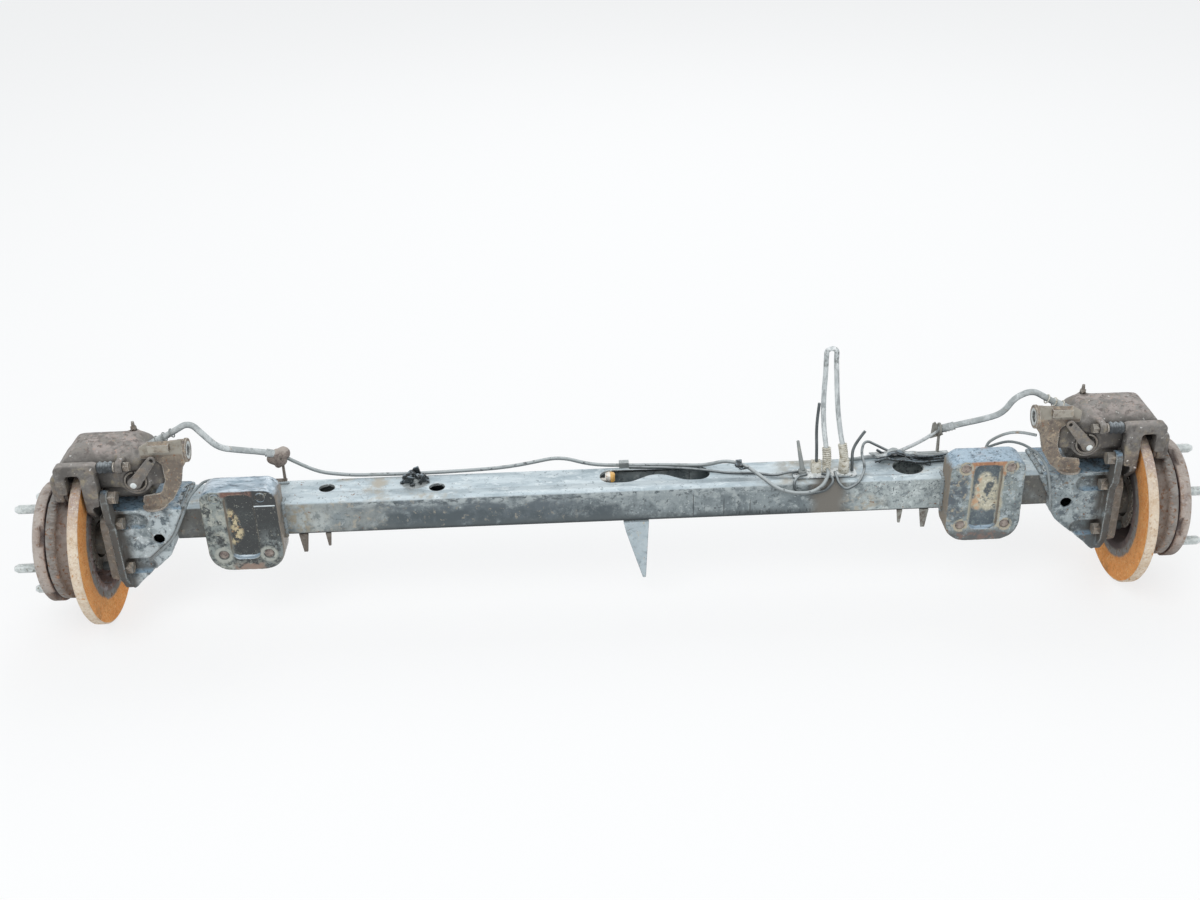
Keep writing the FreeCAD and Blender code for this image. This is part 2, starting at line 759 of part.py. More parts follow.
def guide_boots():
    boots = []
    folds = 3
    pitch = boot_len / folds
    for y, h in guides:
        section = [(boot_in, boot_bore_r)]
        for i in range(folds):
            section.append((boot_in + i * pitch, boot_valley_r))
            section.append((boot_in + (i + 0.5) * pitch, boot_r))
        section.append((boot_out, boot_valley_r))
        section.append((boot_out, boot_bore_r))
        boots.append(turned(section, y, h))
    return group(boots)


# Caliper housing
def caliper_housing():
    barrel_r = piston_r + barrel_wall
    barrel_out = pad_in_back - 8.0
    side = slab_xz([(barrel_back, piston_h + 4), (barrel_back, bridge_top - 30, 10.0),
                    (barrel_back + 13, bridge_top - 9, 14.0), (barrel_back + 56, bridge_top, 40.0),
                    (disc_in - 14, bridge_top - 2, 40.0), (disc_out, bridge_top - 9, 24.0),
                    (finger_out - 18, bridge_top - 30, 20.0), (finger_out, bridge_top - 50, 14.0),
                    (finger_out, finger_low, 6.0), (finger_in, finger_low, 3.0), (finger_in, bridge_under, 7.0),
                    (barrel_out, bridge_under, 4.0), (barrel_out, piston_h + 4)], -bridge_half, bridge_half)
    crown_low = bridge_top - 27.0
    arc = Part.Arc(at(0, -bridge_half, crown_low), at(0, 0, bridge_top), at(0, bridge_half, crown_low)).toShape()
    low = piston_h - barrel_r - 10
    corners = [at(0, bridge_half, crown_low), at(0, bridge_half, low), at(0, -bridge_half, low),
               at(0, -bridge_half, crown_low)]
    crown_wire = Part.Wire([arc, Part.makeLine(corners[0], corners[1]), Part.makeLine(corners[1], corners[2]),
                            Part.makeLine(corners[2], corners[3])])
    crown = Part.Face(crown_wire).extrude(Vector(finger_out + 5, 0, 0))
    dome = side.common(crown)
    barrel = rod_x(barrel_r, barrel_back, barrel_out, 0, piston_h)
    end_cap = rod_x(barrel_r - 9, barrel_back - 6, barrel_back, 0, piston_h)
    cross = rod_y(lever_boss_r, -lever_boss_front, lever_boss_back, lever_x, lever_h)
    lug_end = lever_x - 43
    lug = slab_xz([(lug_end, lever_h - 13, 4.0), (lever_x, lever_h - 13, 0), (lever_x, guide_h + 4, 0),
                   (lug_end + 12, guide_h + 4, 8.0), (lug_end, guide_h - 8, 6.0)], -strap_y + strap_thick / 2, -10.0)
    ears = []
    ear_r = 11.0
    ear_root = 36.0
    for y, h in guides:
        root = math.copysign(ear_root, y)
        ear = rod_x(ear_r, ear_out - ear_thick, ear_out, y, h)
        arm = box(ear_out - ear_thick, ear_out, min(root, y), max(root, y), h - ear_r, h + ear_r)
        ears.append(join(ear, arm))
    port = hose_port_boss()
    bleed_boss = rod_z(8.0, bridge_top - 34, bleed_seat, bleed_x, bleed_y)
    body = join(dome, barrel, end_cap, cross, lug, ears[0], ears[1], port, bleed_boss)
    bore_end = barrel_out - piston_len + 6.0
    bore = rod_x(piston_r + piston_run_gap, bore_end, barrel_out + 1, 0, piston_h)
    shaft_way = rod_y(lever_shaft_r + 0.05, -lever_boss_front - 1, lever_boss_back - 6, lever_x, lever_h)
    spring_pocket = rod_y(lever_boss_r - 5, -lever_boss_front - 1, -lever_boss_front + 5, lever_x, lever_h)
    notch_h = rim - finger_notch_reach
    finger_gap = join(box(finger_in - 1, finger_out + 1, -finger_notch_r, finger_notch_r, finger_low - 1, notch_h),
                      rod_x(finger_notch_r, finger_in - 1, finger_out + 1, 0, notch_h))
    pin_ways = [rod_x(4.0, ear_out - ear_thick - 1, ear_out + 1, y, h) for y, h in guides]
    port_way = Part.makeCylinder(3.5, 16.0, port_mouth(), port_direction())
    bleed_way = rod_z(3.5, bridge_top - 26, bridge_top, bleed_x, bleed_y)
    return take(body, bore, shaft_way, spring_pocket, finger_gap, *pin_ways, port_way, bleed_way)


def port_direction():
    """Way into the caliper's brake hose port."""
    return Vector(0.878, 0, -0.479)


def port_mouth():
    return at(barrel_back - 5.0, 0, bridge_top - 20.0)


def hose_port_boss():
    return Part.makeCylinder(9.0, 22.0, port_mouth(), port_direction())


def bleed_screw():
    base = bleed_seat
    stem = rod_z(3.4, base - 14, base, bleed_x, bleed_y)
    head = hexagon(9.0, 5.0, at(bleed_x, bleed_y, base), Vector(0, 0, 1))
    nipple = Part.makeCone(3.2, 2.2, 9.0, at(bleed_x, bleed_y, base + 5), Vector(0, 0, 1))
    return join(stem, head, nipple)


def piston():
    barrel_out = pad_in_back - 8.0
    start = barrel_out - piston_len + 8.0
    return turned([(start, 0), (start, piston_r), (pad_in_back, piston_r), (pad_in_back, piston_r - 5),
                   (pad_in_back - 12, piston_r - 5), (pad_in_back - 12, 0)], 0.0, piston_h)


# Pads
def pad(face, out):
    """Steel backplate with its lining; out is +1 when the backplate is outboard of the lining."""
    lining_end = face + out * lining_thick
    plate_end = lining_end + out * backplate_thick
    x0 = min(face, lining_end)
    ring = rod_x(lining_outer_r, x0, x0 + lining_thick, 0, 0).cut(
        rod_x(lining_inner_r, x0 - 1, x0 + lining_thick + 1, 0, 0))
    lining = ring.common(box(x0, x0 + lining_thick, -lining_half, lining_half, lining_inner_r / 2, lining_outer_r))
    p0 = min(lining_end, plate_end)
    ear_low = lining_inner_r + 8
    ear_high = lining_outer_r - 8
    half_plate = [(pad_half, ear_low, 3.0), (pad_half, ear_high, 3.0), (lining_half - 8, lining_outer_r - 1, 6.0)]
    other = [(-y, h, r) for y, h, r in reversed(half_plate)]
    low = lining_inner_r - 10
    plate = slab_yz(half_plate + other + [(-lining_half + 6, low, 6.0), (lining_half - 6, low, 6.0)],
                    p0, p0 + backplate_thick)
    return join(lining, plate)


# Hand brake lever with its cross shaft
def hand_brake_lever():
    y1 = -lever_boss_front - lever_gap
    y0 = y1 - lever_thick
    lean = math.radians(lever_lean_deg)
    tip_x = lever_x - lever_reach * math.sin(lean)
    tip_h = lever_h + lever_reach * math.cos(lean)
    side = Vector(math.cos(lean), 0, math.sin(lean))
    root_half = 10.0
    tip_half = 7.0
    root = at(lever_x, y0, lever_h)
    tip = at(tip_x, y0, tip_h)
    arm_wire = Part.makePolygon([root + side * root_half, tip + side * tip_half, tip - side * tip_half,
                                 root - side * root_half, root + side * root_half])
    arm = Part.Face(arm_wire).extrude(Vector(0, lever_thick, 0))
    hub = rod_y(11.0, y0, y1, lever_x, lever_h)
    end = rod_y(tip_half, y0, y1, tip_x, tip_h)
    shaft = rod_y(lever_shaft_r, y0 - 5, lever_boss_back - 8, lever_x, lever_h)
    ring_clip = take(rod_y(9.0, y0 - 3.2, y0 - 1.8, lever_x, lever_h), rod_y(6.0, y0 - 4, y0 - 1, lever_x, lever_h))
    nipple_way = rod_y(3.0, y0 - 1, y1 + 1, tip_x, tip_h)
    return join(take(join(arm, hub, end), nipple_way), shaft, ring_clip)


def return_spring():
    """Flat wire torsion spring in the pocket round the cross shaft."""
    y0 = -lever_boss_front + 1.0
    wire = 2.4
    outer = lever_boss_r - 6.5
    coil = take(rod_y(outer, y0, y0 + 2 * wire - 1, lever_x, lever_h),
                rod_y(outer - wire, y0 - 1, y0 + 2 * wire, lever_x, lever_h))
    slot = box(lever_x - 1.5, lever_x + 1.5, y0 - 1, y0 + 2 * wire, lever_h + outer - wire - 1, lever_h + outer + 1)
    return coil.cut(slot)


# Cable bracket beside the lever
strap_above = [(14, -36, 12), (0, -16, 4), (0, 14, 3), (30, 11, 4), (62, 11, 3), (77, 2, 3), (77, -18, 3), (58, -20, 6),
               (46, -30, 8)]
strap_below = [(44, 3, 12), (35, 25, 8), (6, 29, 3), (2, 44, 8), (16, 51, 10), (36, 51, 12), (52, 39, 14), (69, 11, 14)]
lip_back = 21.0
lip_r = 20.0
cable_stop = (28.0, 61.0, -5.0, 9.0)
cable_stop_w = 9.0


def cable_bracket():
    """Pressed strap with the cable's ring at its inboard end and a half-round lip under the lever.

    The upper outline is measured outboard and up from the ring, the lower one inboard and down from the lever's shaft.
    """
    y0 = -strap_y - strap_thick / 2
    y1 = -strap_y + strap_thick / 2
    x = ring_x
    strap = slab_xz([(x + out, ring_h + up, r) for out, up, r in strap_above] +
                    [(lever_x - back, lever_h - down, r) for back, down, r in strap_below], y0, y1)
    ring = rod_x(ring_r, x - ring_thick / 2, x + ring_thick / 2, -ring_y, ring_h)
    ring_way = rod_x(ring_hole_r, x - ring_thick, x + ring_thick, -ring_y, ring_h)
    lip_x = lever_x - lip_back
    lip_low = lever_h - max(down for back, down, r in strap_below)
    lip_high = lip_low + strap_thick
    lip = rod_z(lip_r, lip_low, lip_high, lip_x, y1).common(
        box(lip_x - lip_r, lip_x + lip_r, y1 - lip_r, y1, lip_low, lip_high))
    stop_in, stop_out, stop_low, stop_high = cable_stop
    block = box(x + stop_in, x + stop_out, y0 - cable_stop_w, y0 + 1, ring_h + stop_low, ring_h + stop_high)
    return join(take(join(strap, ring), ring_way), lip, block)


# Hose post on the beam's back edge
def hose_post():
    half = post_w / 2
    foot = box(post_x - 3, post_x + 21, post_y - 10, post_y + 3, beam_top, beam_top + post_thick)
    stem = slab_yz([(post_y - 6, beam_top), (post_y + 4, beam_top), (post_y + 3, post_h - half),
                    (post_y - 3, post_h - half)], post_x - post_thick / 2, post_x + post_thick / 2)
    ring = rod_x(half + 3, post_x - post_thick / 2, post_x + post_thick / 2, post_y, post_h)
    return take(join(foot, stem, ring), rod_x(ferrule_r + 1.2, post_x - 5, post_x + 5, post_y, post_h))


# Brake hoses, each drawn along its own route from the caliper to its post
def hose_route(side, bends):
    """Route from the caliper's port to the post; bends are (distance inboard of the disc, y, height)."""
    mouth = port_mouth()
    way = port_direction()
    lead = [(side * (mouth.x - way.x * run), 0.0, mouth.z - axle_z - way.z * run) for run in (hose_seat_gap, hose_lead)]
    return lean_points(lead) + [(side * (disc_in - back), y, h) for back, y, h in bends] + [(side * post_x, post_y, post_h)]


right_bends = [(164, 0, 206), (190, 1, 194), (206, 6, 163), (234, 15, 149), (265, 25, 137)]
left_bends = [(169, 0, 208), (187, 3, 182), (205, 9, 155), (235, 17, 145), (267, 27, 135)]
right_hose = hose_route(1, right_bends)
left_hose = hose_route(-1, left_bends)


def brake_hose(name, route):
    """Rubber hose with a crimped ferrule on each end."""
    hose = tube(name, hose_r, route)
    ferrules = []
    for end, inner in ((route[0], route[1]), (route[-1], route[-2])):
        start = at(*end)
        way = at(*inner) - start
        way.normalize()
        ferrules.append(Part.makeCylinder(ferrule_r, ferrule_len, start, way))
    return join(hose, *ferrules)


# Brake pipes along the beam's back edge
lie = beam_top + pipe_r
bracket_top = beam_top + bracket_stand
left_pipe = [(-post_x, post_y, post_h), (26 - post_x, 35, 106), (58 - post_x, 35.5, 88), (108 - post_x, 36, lie + 2),
             (-300, pipe_y, lie), (-171, pipe_y, lie + 5), (-86, pipe_y, 99), (-36, pipe_y, lie + 4), (19, pipe_y, lie),
             (80, 33, lie + 0.5), (150, 22, lie + 2), (185, 5, 97), (213, -8, 95), (240, -29, 82),
             (262, -47, 70), (290, -49.5, 62), (318, -49.5, 63), (336, -47, 74), (345, -36, bracket_top + 9),
             (345, bracket_y - fitting_left_r, bracket_top + 9)]
right_pipe = [(post_x, post_y, post_h), (post_x - 20, 35, 107), (post_x - 46, 35.5, 92), (post_x - 76, 36, lie + 1),
              (425, 34, lie), (396, 22, lie + 2), (378, 10, bracket_top + 8), (fitting_x[2], 2, bracket_top + 10),
              (fitting_x[2], bracket_y + fitting_right_r, bracket_top + 10)]


def brake_pipes():
    return group([tube("left pipe", pipe_r, left_pipe), tube("right pipe", pipe_r, right_pipe)])


# Thin sensor lines round the bracket
harness_lie = beam_top + harness_r
thin_left = [(27.2, 30.2, harness_lie), (92, 25, harness_lie), (150, 12, harness_lie), (190, -2, harness_lie),
             (232, -4, harness_lie), (262, -17, harness_lie + 1), (283, bracket_y, bracket_top + 3),
             (fitting_x[0] - fitting_stub_r, bracket_y, bracket_top + 3)]
on_bracket = bracket_top + harness_r
loop_low = [(312, -24, on_bracket), (297, -30, on_bracket + 1), (288, -41, 77), (291, -43.6, 63), (316, -43.6, 56),
            (342, -43.6, 62), (353, -41, 77), (349, -30, on_bracket + 1), (336, -24, on_bracket)]
loop_right = [(520, 26, harness_lie), (468, 24, 84), (415, 30, 112), (406, 12, 99), (408, -20, 86),
              (392, -46, 74), (372, -48, 64), (361, -42, 73), (358, -31, on_bracket + 1), (358, -20, on_bracket)]


on_knuckle = beam_front - knuckle_wall - harness_r
lead_right = [(post_x + 62, 30, harness_lie), (post_x + 87, 20, 98), (knuckle_hole_x - 89, 10, 110),
              (knuckle_hole_x - 68, 0, 109), (knuckle_hole_x - 50, -30, 106), (knuckle_hole_x - 40, on_knuckle, 90),
              (knuckle_hole_x - 31, on_knuckle, 52), (knuckle_hole_x - 26, on_knuckle, 12)]
lead_left = [(-post_x - 62, 30, harness_lie), (-post_x - 87, 20, 90), (77 - knuckle_hole_x, 0, 102),
             (71 - knuckle_hole_x, -40, 107), (62 - knuckle_hole_x, on_knuckle, 99),
             (40 - knuckle_hole_x, on_knuckle, 54), (23 - knuckle_hole_x, on_knuckle, 22),
             (-knuckle_hole_x - 21, on_knuckle, -16)]


def sensor_harness():
    routes = {"thin left": thin_left, "low loop": loop_low, "right loop": loop_right, "lead right": lead_right,
              "lead left": lead_left}
    return group([tube(name, harness_r, lean_points(route)) for name, route in routes.items()])


# Bracket for the line fittings
def line_bracket():
    x0 = fitting_x[0] - 16
    x1 = fitting_x[2] + 20
    y0 = bracket_y - 13
    y1 = bracket_y + 13
    top = slab_xy([(x0, y0, 5.0), (x1, y0, 5.0), (x1, y1, 5.0), (x0, y1, 5.0)], bracket_top - bracket_thick, bracket_top)
    feet = [box(x, x + 14, y1 - 8, y1, beam_top, bracket_top - bracket_thick) for x in (x0 + 6, x1 - 22)]
    ways = [rod_z(4.5, beam_top, bracket_top + 1, x, bracket_y) for x in fitting_x]
    return take(join(top, feet[0], feet[1]), *ways)


def line_fittings():
    """Two hose ends and the stub of a cut pipe, each standing in the bracket."""
    x_stub, x_left, x_right = fitting_x
    base = bracket_top
    stub = join(rod_z(fitting_stub_r, base, base + 6, x_stub, bracket_y), rod_z(4.5, base - 3, base, x_stub, bracket_y),
                Part.makeCone(4.2, 2.4, 52.0, at(x_stub, bracket_y, base + 6), Vector(-0.17, 0.1, 1)))
    left = join(rod_z(fitting_left_r, base, base + 14, x_left, bracket_y), rod_z(4.5, base - 3, base, x_left, bracket_y))
    right = join(rod_z(fitting_right_r, base, base + 22, x_right, bracket_y),
                 rod_z(4.5, base - 3, base, x_right, bracket_y))
    block = box(x_left - 24, x_left - 9, bracket_y - 2, bracket_y + 12, base, base + 18)
    return group([stub, left, right, block])


hairpin = [(345, bracket_y, bracket_top + 14), (345, bracket_y, 108), (343, -8, 128), (340, -2, 152),
           (338, 0, 180), (337, 0, 215), (338, 0, 250), (338, 1, 272), (338, 1, 292), (354, 1, 292),
           (354, 1, 272), (355.5, 0, 250), (358, 0, 215), (361.5, 0, 180),
           (366.5, -4, 145), (371.5, -12, 118), (373, bracket_y, bracket_top + 22)]


def hairpin_hose():
    return tube("hairpin", 4.0, hairpin)


# Cut cable stubs beside the hairpin
dark_stub = [(329, -11, bracket_top + 18), (329, -8, 120), (328.5, 0, 146), (329, 1, 172), (331, 1, 197)]
bare_stub = [(387, -15, bracket_top), (387, -11, 98), (388, -4, 113), (398, 0, 130), (408, 2, 143)]


def cable_stub(name, route):
    return tube(name, stub_cable_r, route)


# Clips, ties and plugs on the beam
def clips_and_plugs():
    clamp_in, clamp_out = clamp_x
    clamp = take(box(clamp_in, clamp_out, pipe_y - pipe_r - 2, pipe_y + pipe_r + 3, beam_top, lie + pipe_r + 4),
                 rod_x(pipe_r + 0.3, clamp_in - 1, clamp_out + 1, pipe_y, lie))
    x, y, r = large_plug_hole
    large_plug = join(rod_z(r, beam_top - beam_wall, beam_top, x, y),
                      rod_z(large_plug_head_r, beam_top, beam_top + large_plug_head, x, y))
    x, y, r = loose_plug
    sheet_under = beam_top - beam_wall
    under = sheet_under - loose_plug_thick
    tongue = box(dogbone_left - loose_plug_bite, x, y - r / 2, y + r / 2, under, sheet_under)
    small_plug = join(rod_z(r, under, beam_top + loose_plug_head, x, y), tongue)
    return group([clamp, large_plug, small_plug])


# Brackets under the beam
def gusset_bracket():
    """Folded bracket that tapers down from the beam's front edge to a narrow tip."""
    y0 = beam_front
    high = beam_under
    web = slab_xz([(14, high), (55, high), (49, -94, 2.0), (44, -94, 2.0), (17, -2, 8.0)], y0, y0 + 3)
    flange = slab_yz([(y0, high), (y0 + 30, high), (y0 + 8, -90), (y0, -90)], 52, 55)
    flange = flange.cut(slab_xz([(49, -100), (60, -100), (60, 30), (55.01, high)], y0 - 1, y0 + 40))
    tab = box(14, 55, y0, y0 + 26, high - 3, high)
    return join(web, tab)


def beam_tabs():
    tabs = []
    for s in (-1, 1):
        for back, low, width in zip(tab_from_disc, tab_low, tab_w):
            x = s * (disc_in - back)
            half = width / 2
            tip = half * 0.4
            y0 = beam_front + 3.0
            tabs.append(slab_xz([(x - half, beam_under), (x + half, beam_under), (x + tip, low), (x - tip, low)],
                                y0, y0 + tab_thick))
    return group(tabs)


# Writing the pieces out
os.makedirs("parts", exist_ok=True)


def write(name, shape):
    for solid in shape.Solids:
        if not solid.isValid() or solid.Volume <= 0:
            print("WRONG SOLID in", name)
    shape.exportStep("parts/" + name + ".step")


def write_pair(name, shape):
    """Writes the piece for both ends."""
    write(name + "_left", mirrored(shape))
    write(name + "_right", shape)


def both_ends(solids):
    """The solids of both wheel ends as one piece."""
    leaning = [leaned(solid) for solid in solids]
    return group(leaning + [mirrored(solid) for solid in leaning])


def write_wheel_end(name, shape, right_turn_deg=0.0):
    """Writes a piece that leans with the wheel; what turns with the hub stopped at another angle on the right."""
    write(name + "_left", mirrored(leaned(shape)))
    shape = shape.copy()
    shape.rotate(at(0, 0, 0), Vector(1, 0, 0), right_turn_deg)
    write(name + "_right", leaned(shape))


write("beam_tube", beam_tube())
write_pair("spring_seat", spring_seat())
write_pair("knuckle", knuckle())
write_wheel_end("stub_axle", stub_axle())
write("flange_bolts", both_ends(flange_bolts()))
write("carrier_bolts", both_ends(carrier_bolts()))
write("hub_nuts", both_ends([hub_nut()]))
write_wheel_end("bearing_inner_ring", bearing_inner_ring())
write_wheel_end("bearing_outer_ring", bearing_outer_ring())
write_wheel_end("wheel_hub", wheel_hub(), right_hub_turn_deg)
write_wheel_end("grease_cap", grease_cap())
write_wheel_end("brake_disc", brake_disc(), right_hub_turn_deg)
write_wheel_end("wheel_studs", wheel_studs(), right_hub_turn_deg)
write_wheel_end("speed_sensor", speed_sensor())
write_wheel_end("caliper_carrier", caliper_carrier())
write_wheel_end("guide_pins", guide_pins())
write_wheel_end("guide_boots", guide_boots())
write_wheel_end("caliper_housing", caliper_housing())
write_wheel_end("bleed_screw", bleed_screw())
write_wheel_end("piston", piston())
write_wheel_end("inner_pad", pad(pad_in_face, -1))
write_wheel_end("outer_pad", pad(pad_out_face, 1))
write_wheel_end("hand_brake_lever", hand_brake_lever())
write_wheel_end("return_spring", return_spring())
write_wheel_end("cable_bracket", cable_bracket())
write_pair("hose_post", hose_post())
write("brake_hose_right", brake_hose("right hose", right_hose))
write("brake_hose_left", brake_hose("left hose", left_hose))
write("brake_pipes", brake_pipes())
write("sensor_harness", sensor_harness())
write("line_bracket", line_bracket())
write("line_fittings", line_fittings())
write("hairpin_hose", hairpin_hose())
write("cable_stub_dark", cable_stub("dark stub", dark_stub))
write("cable_stub_bare", cable_stub("bare stub", bare_stub))
write("clips_and_plugs", clips_and_plugs())
write("gusset_bracket", gusset_bracket())
write("beam_tabs", beam_tabs())
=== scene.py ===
"""Looks of a dead rear axle beam taken off a van: paint, rust, dirt, cast skins, threads, welds and lines.

Sizes are in metres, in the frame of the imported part: X along the axle, Y away from the spring seats, Z up.
"""
import json
import math

import bmesh
import bpy
from mathutils import Matrix, Vector, noise

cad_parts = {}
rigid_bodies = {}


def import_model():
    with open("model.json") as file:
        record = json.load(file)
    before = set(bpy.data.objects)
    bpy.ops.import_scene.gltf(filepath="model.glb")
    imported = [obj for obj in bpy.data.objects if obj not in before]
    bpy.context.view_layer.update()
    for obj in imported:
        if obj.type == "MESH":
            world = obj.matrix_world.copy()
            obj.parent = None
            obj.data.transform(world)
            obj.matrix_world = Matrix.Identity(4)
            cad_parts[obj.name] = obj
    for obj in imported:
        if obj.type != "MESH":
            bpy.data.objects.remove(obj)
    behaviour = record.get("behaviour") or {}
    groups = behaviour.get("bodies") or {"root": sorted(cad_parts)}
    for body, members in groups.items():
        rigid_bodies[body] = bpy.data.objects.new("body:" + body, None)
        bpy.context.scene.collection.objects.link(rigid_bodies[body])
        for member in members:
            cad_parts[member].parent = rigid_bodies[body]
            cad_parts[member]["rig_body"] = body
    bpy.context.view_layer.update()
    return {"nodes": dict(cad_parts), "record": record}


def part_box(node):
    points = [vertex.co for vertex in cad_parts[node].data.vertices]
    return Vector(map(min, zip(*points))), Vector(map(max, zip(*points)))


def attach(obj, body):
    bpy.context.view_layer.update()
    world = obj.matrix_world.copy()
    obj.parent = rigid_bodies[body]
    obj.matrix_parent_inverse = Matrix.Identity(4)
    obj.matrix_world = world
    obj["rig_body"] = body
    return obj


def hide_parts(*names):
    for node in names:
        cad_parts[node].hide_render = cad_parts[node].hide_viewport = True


bl_info = {
    "name": "Rear Axle Beam",
    "version": (1, 0, 0),
    "blender": (4, 5, 0),
    "location": "View3D > Sidebar > Axle",
    "description": "Dresses a dead rear axle beam with its paint, rust, dirt and lines",
    "category": "Object",
}

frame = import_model()
nodes = frame["nodes"]

SIDES = {"right": 1.0, "left": -1.0}
MM = 0.001


def middle(node):
    """Middle of the box round a node."""
    low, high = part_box(node)
    return (low + high) / 2


def span(node):
    """Sizes of the box round a node."""
    low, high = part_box(node)
    return high - low


AXLE_Z = middle("wheel_hub_right").z
DISC_R = span("brake_disc_right").z / 2
DISC_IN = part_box("brake_disc_right")[0].x
BEAM_LOW, BEAM_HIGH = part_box("beam_tube")
SEAT_X = middle("spring_seat_right").x
SEAT_LOW, SEAT_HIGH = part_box("spring_seat_right")
SEAT_HALF = (SEAT_HIGH.x - SEAT_LOW.x) / 2
RING_Y = -0.0554  # middle of the cable brackets' rings

# In millimetres; where there are three numbers, they're x, y and the height above the hub axis
HOLE_ACROSS = 36  # the seats' holes, to each side of the seat's middle
HOLE_ROWS = {"low": 1, "high": 106}
LOOSE_PLUG = ((-31, -1, 65.5), (4, 17, 79.5))  # two corners of the room round the plug that came loose
# Crimped rings on both brake hoses: start and end (x outwards), radius, count
HOSE_CRIMPS = (("post_crimps", (547, 34.5, 124.5), (561, 33, 129.5), 6, 4),
               ("caliper_crimps", (696, 0, 189.5), (721, 0, 177.5), 7, 3))
HAIRPIN_ENDS = (((345, -16, 94), (345, -16, 106), (344, -12, 122)),
                ((373, -16, 102), (372, -13, 112), (370, -9, 126)))
BARE_CLIP = ((524, 33.5, 107), (545, 33.5, 113), (541, 33.5, 122), (530, 33.5, 137), (526, 33.5, 134))
# Balls of the caked clip and of the broken grommet, each with its radius
CAKED_CLIP = ((-552, 35, 118, 12), (-543, 35, 123, 13), (-534, 35, 127, 12), (-540, 35, 115, 12),
              (-545, 35, 107, 8))
GROMMET = ((-345, 10, 76, 5), (-338, 18, 82, 8), (-328, 17, 88, 9), (-318, 12, 86, 7), (-310, 17, 83, 8),
           (-301, 9, 77, 5), (-326, 1, 78, 6), (-319, 24, 79, 7), (-334, 4, 84, 5), (-313, 3, 79, 5),
           (-305, 20, 78, 5))
SHARDS = (((-340, 2, 79), (-326, 0, 80), (-322, -2, 90), (-334, -1, 93)),
          ((-318, 0, 79), (-304, 3, 80), (-307, 1, 94)),
          ((-330, 20, 82), (-314, 22, 82), (-318, 20, 99), (-326, 18, 97)))
TORN_SHEATH = (
    ((424, 20, 90), (440, 30, 84), (470, 30, 86), (500, 26, 84), (528, 30, 82), (556, 34, 80)),
    ((436, 14, 79), (452, 14, 92), (464, 12, 96), (482, 12, 88), (505, 15, 83), (538, 18, 79), (560, 20, 78)),
    ((430, 8, 94), (446, 16, 86), (462, 24, 98), (478, 20, 86), (494, 22, 89), (514, 24, 81), (552, 25, 79)),
    ((444, 30, 78), (456, 22, 90), (470, 12, 98), (486, 14, 84), (506, 6, 79), (520, 2, 77)),
)
BARE_WIRES = (
    ((428, 4, 84), (444, 2, 92), (460, 6, 84), (478, 2, 86), (498, -2, 82), (530, 6, 80), (562, 10, 78)),
    ((434, 22, 96), (452, 20, 84), (470, 26, 80), (492, 8, 90), (520, 12, 83), (556, 28, 80)),
)
LOOSE_CABLE = ((613, 21, 79), (613, 20, 100), (624, 10, 117), (637, 0, 129.5), (649, -10, 137),
               (663, -20, 140), (676, -30, 140.5))

CROWN_FROM = 0.203  # the calipers' crowns, above the hub axis
TIE_X = 0.2056  # the tie on the brake pipe
STUD_APART = 0.02  # less than the gap between two studs
PLATE_EDGE = 0.0004
RIPPLE = 0.42  # step of the weld ripples, as a share of the bead
CLUMP_GRAIN = 0.9  # grain of the clumps, as a share of the castings'
# A cast skin swells and sinks over about 11 mm and is pitted about every 4 mm. Sand leaves pits of half a
# millimetre, which wouldn't show.
SWELLS_PER_M = 90.0
PITS_PER_M = 260.0
SKIN_SUNK = 0.7  # keeps the skin within the shape

# Camera and lamps (name, place, size, watts), fitted to the photograph
CAMERA_AT = (-0.05995, -1.9629, 1.3520)
CAMERA_RIGHT = (0.9991, -0.0345, -0.0260)
CAMERA_UP = (0.0394, 0.4823, 0.8751)
CAMERA_BACK = (-0.0177, -0.8753, 0.4832)
LAMPS = (("key", (-1.4, -2.2, 3.4), 2.8, 62.0), ("fill", (2.4, -2.4, 2.0), 2.4, 24.0),
         ("back", (0.3, 2.6, 3.0), 2.6, 42.0))


def linear(text):
    """Linear RGB of an sRGB hex value."""
    channels = [int(text[i:i + 2], 16) / 255 for i in (1, 3, 5)]
    return tuple(c / 12.92 if c <= 0.04045 else ((c + 0.055) / 1.055) ** 2.4 for c in channels)


def rgba(colour):
    """Linear RGBA of an sRGB hex value or of one of the settings."""
    return (linear(colour) if isinstance(colour, str) else tuple(colour)[:3]) + (1.0,)


def colour_of(name, note, text):
    """A colour setting with an sRGB hex value as its default."""
    return bpy.props.FloatVectorProperty(name=name, description=note, subtype="COLOR", size=3, min=0.0,
                                         max=1.0, default=linear(text))


class AxleSettings(bpy.types.PropertyGroup):
    """Sizes and colours that a user would change."""

    paint_front: colour_of("Paint", "Chassis paint on upright faces", "#838C8E")
    # Bleached top paint, also paler as a painted highlight of the sky light
    paint_top_bleached_and_lit: colour_of("Bleached paint", "Chassis paint that the sky has bleached", "#C3D0D5")
    rust: colour_of("Fresh rust", "Rust of the swept disc face", "#E6954B")
    iron: colour_of("Cast iron", "Weathered casting", "#7C7874")
    rubber: colour_of("Rubber", "Dusty hose rubber", "#A6ABAA")
    floor: colour_of("Floor", "Pale floor", "#F4F5F5")
    lens: bpy.props.FloatProperty(name="Lens", description="Focal length on a 36 mm sensor", default=41.79,
                                  min=20.0, max=100.0, unit="CAMERA")
    voxel: bpy.props.FloatProperty(name="Casting grain", description="Finest size of a casting's skin",
                                   default=0.0016, min=0.001, max=0.01, unit="LENGTH", subtype="DISTANCE")
    bead: bpy.props.FloatProperty(name="Weld bead", description="Width of a weld bead", default=0.007,
                                  min=0.002, max=0.02, unit="LENGTH", subtype="DISTANCE")
    seed: bpy.props.IntProperty(name="Seed", description="Seed of the scattered pieces", default=7, min=0)


def settings():
    """The sizes and colours that the panel shows."""
    return bpy.context.scene.axle


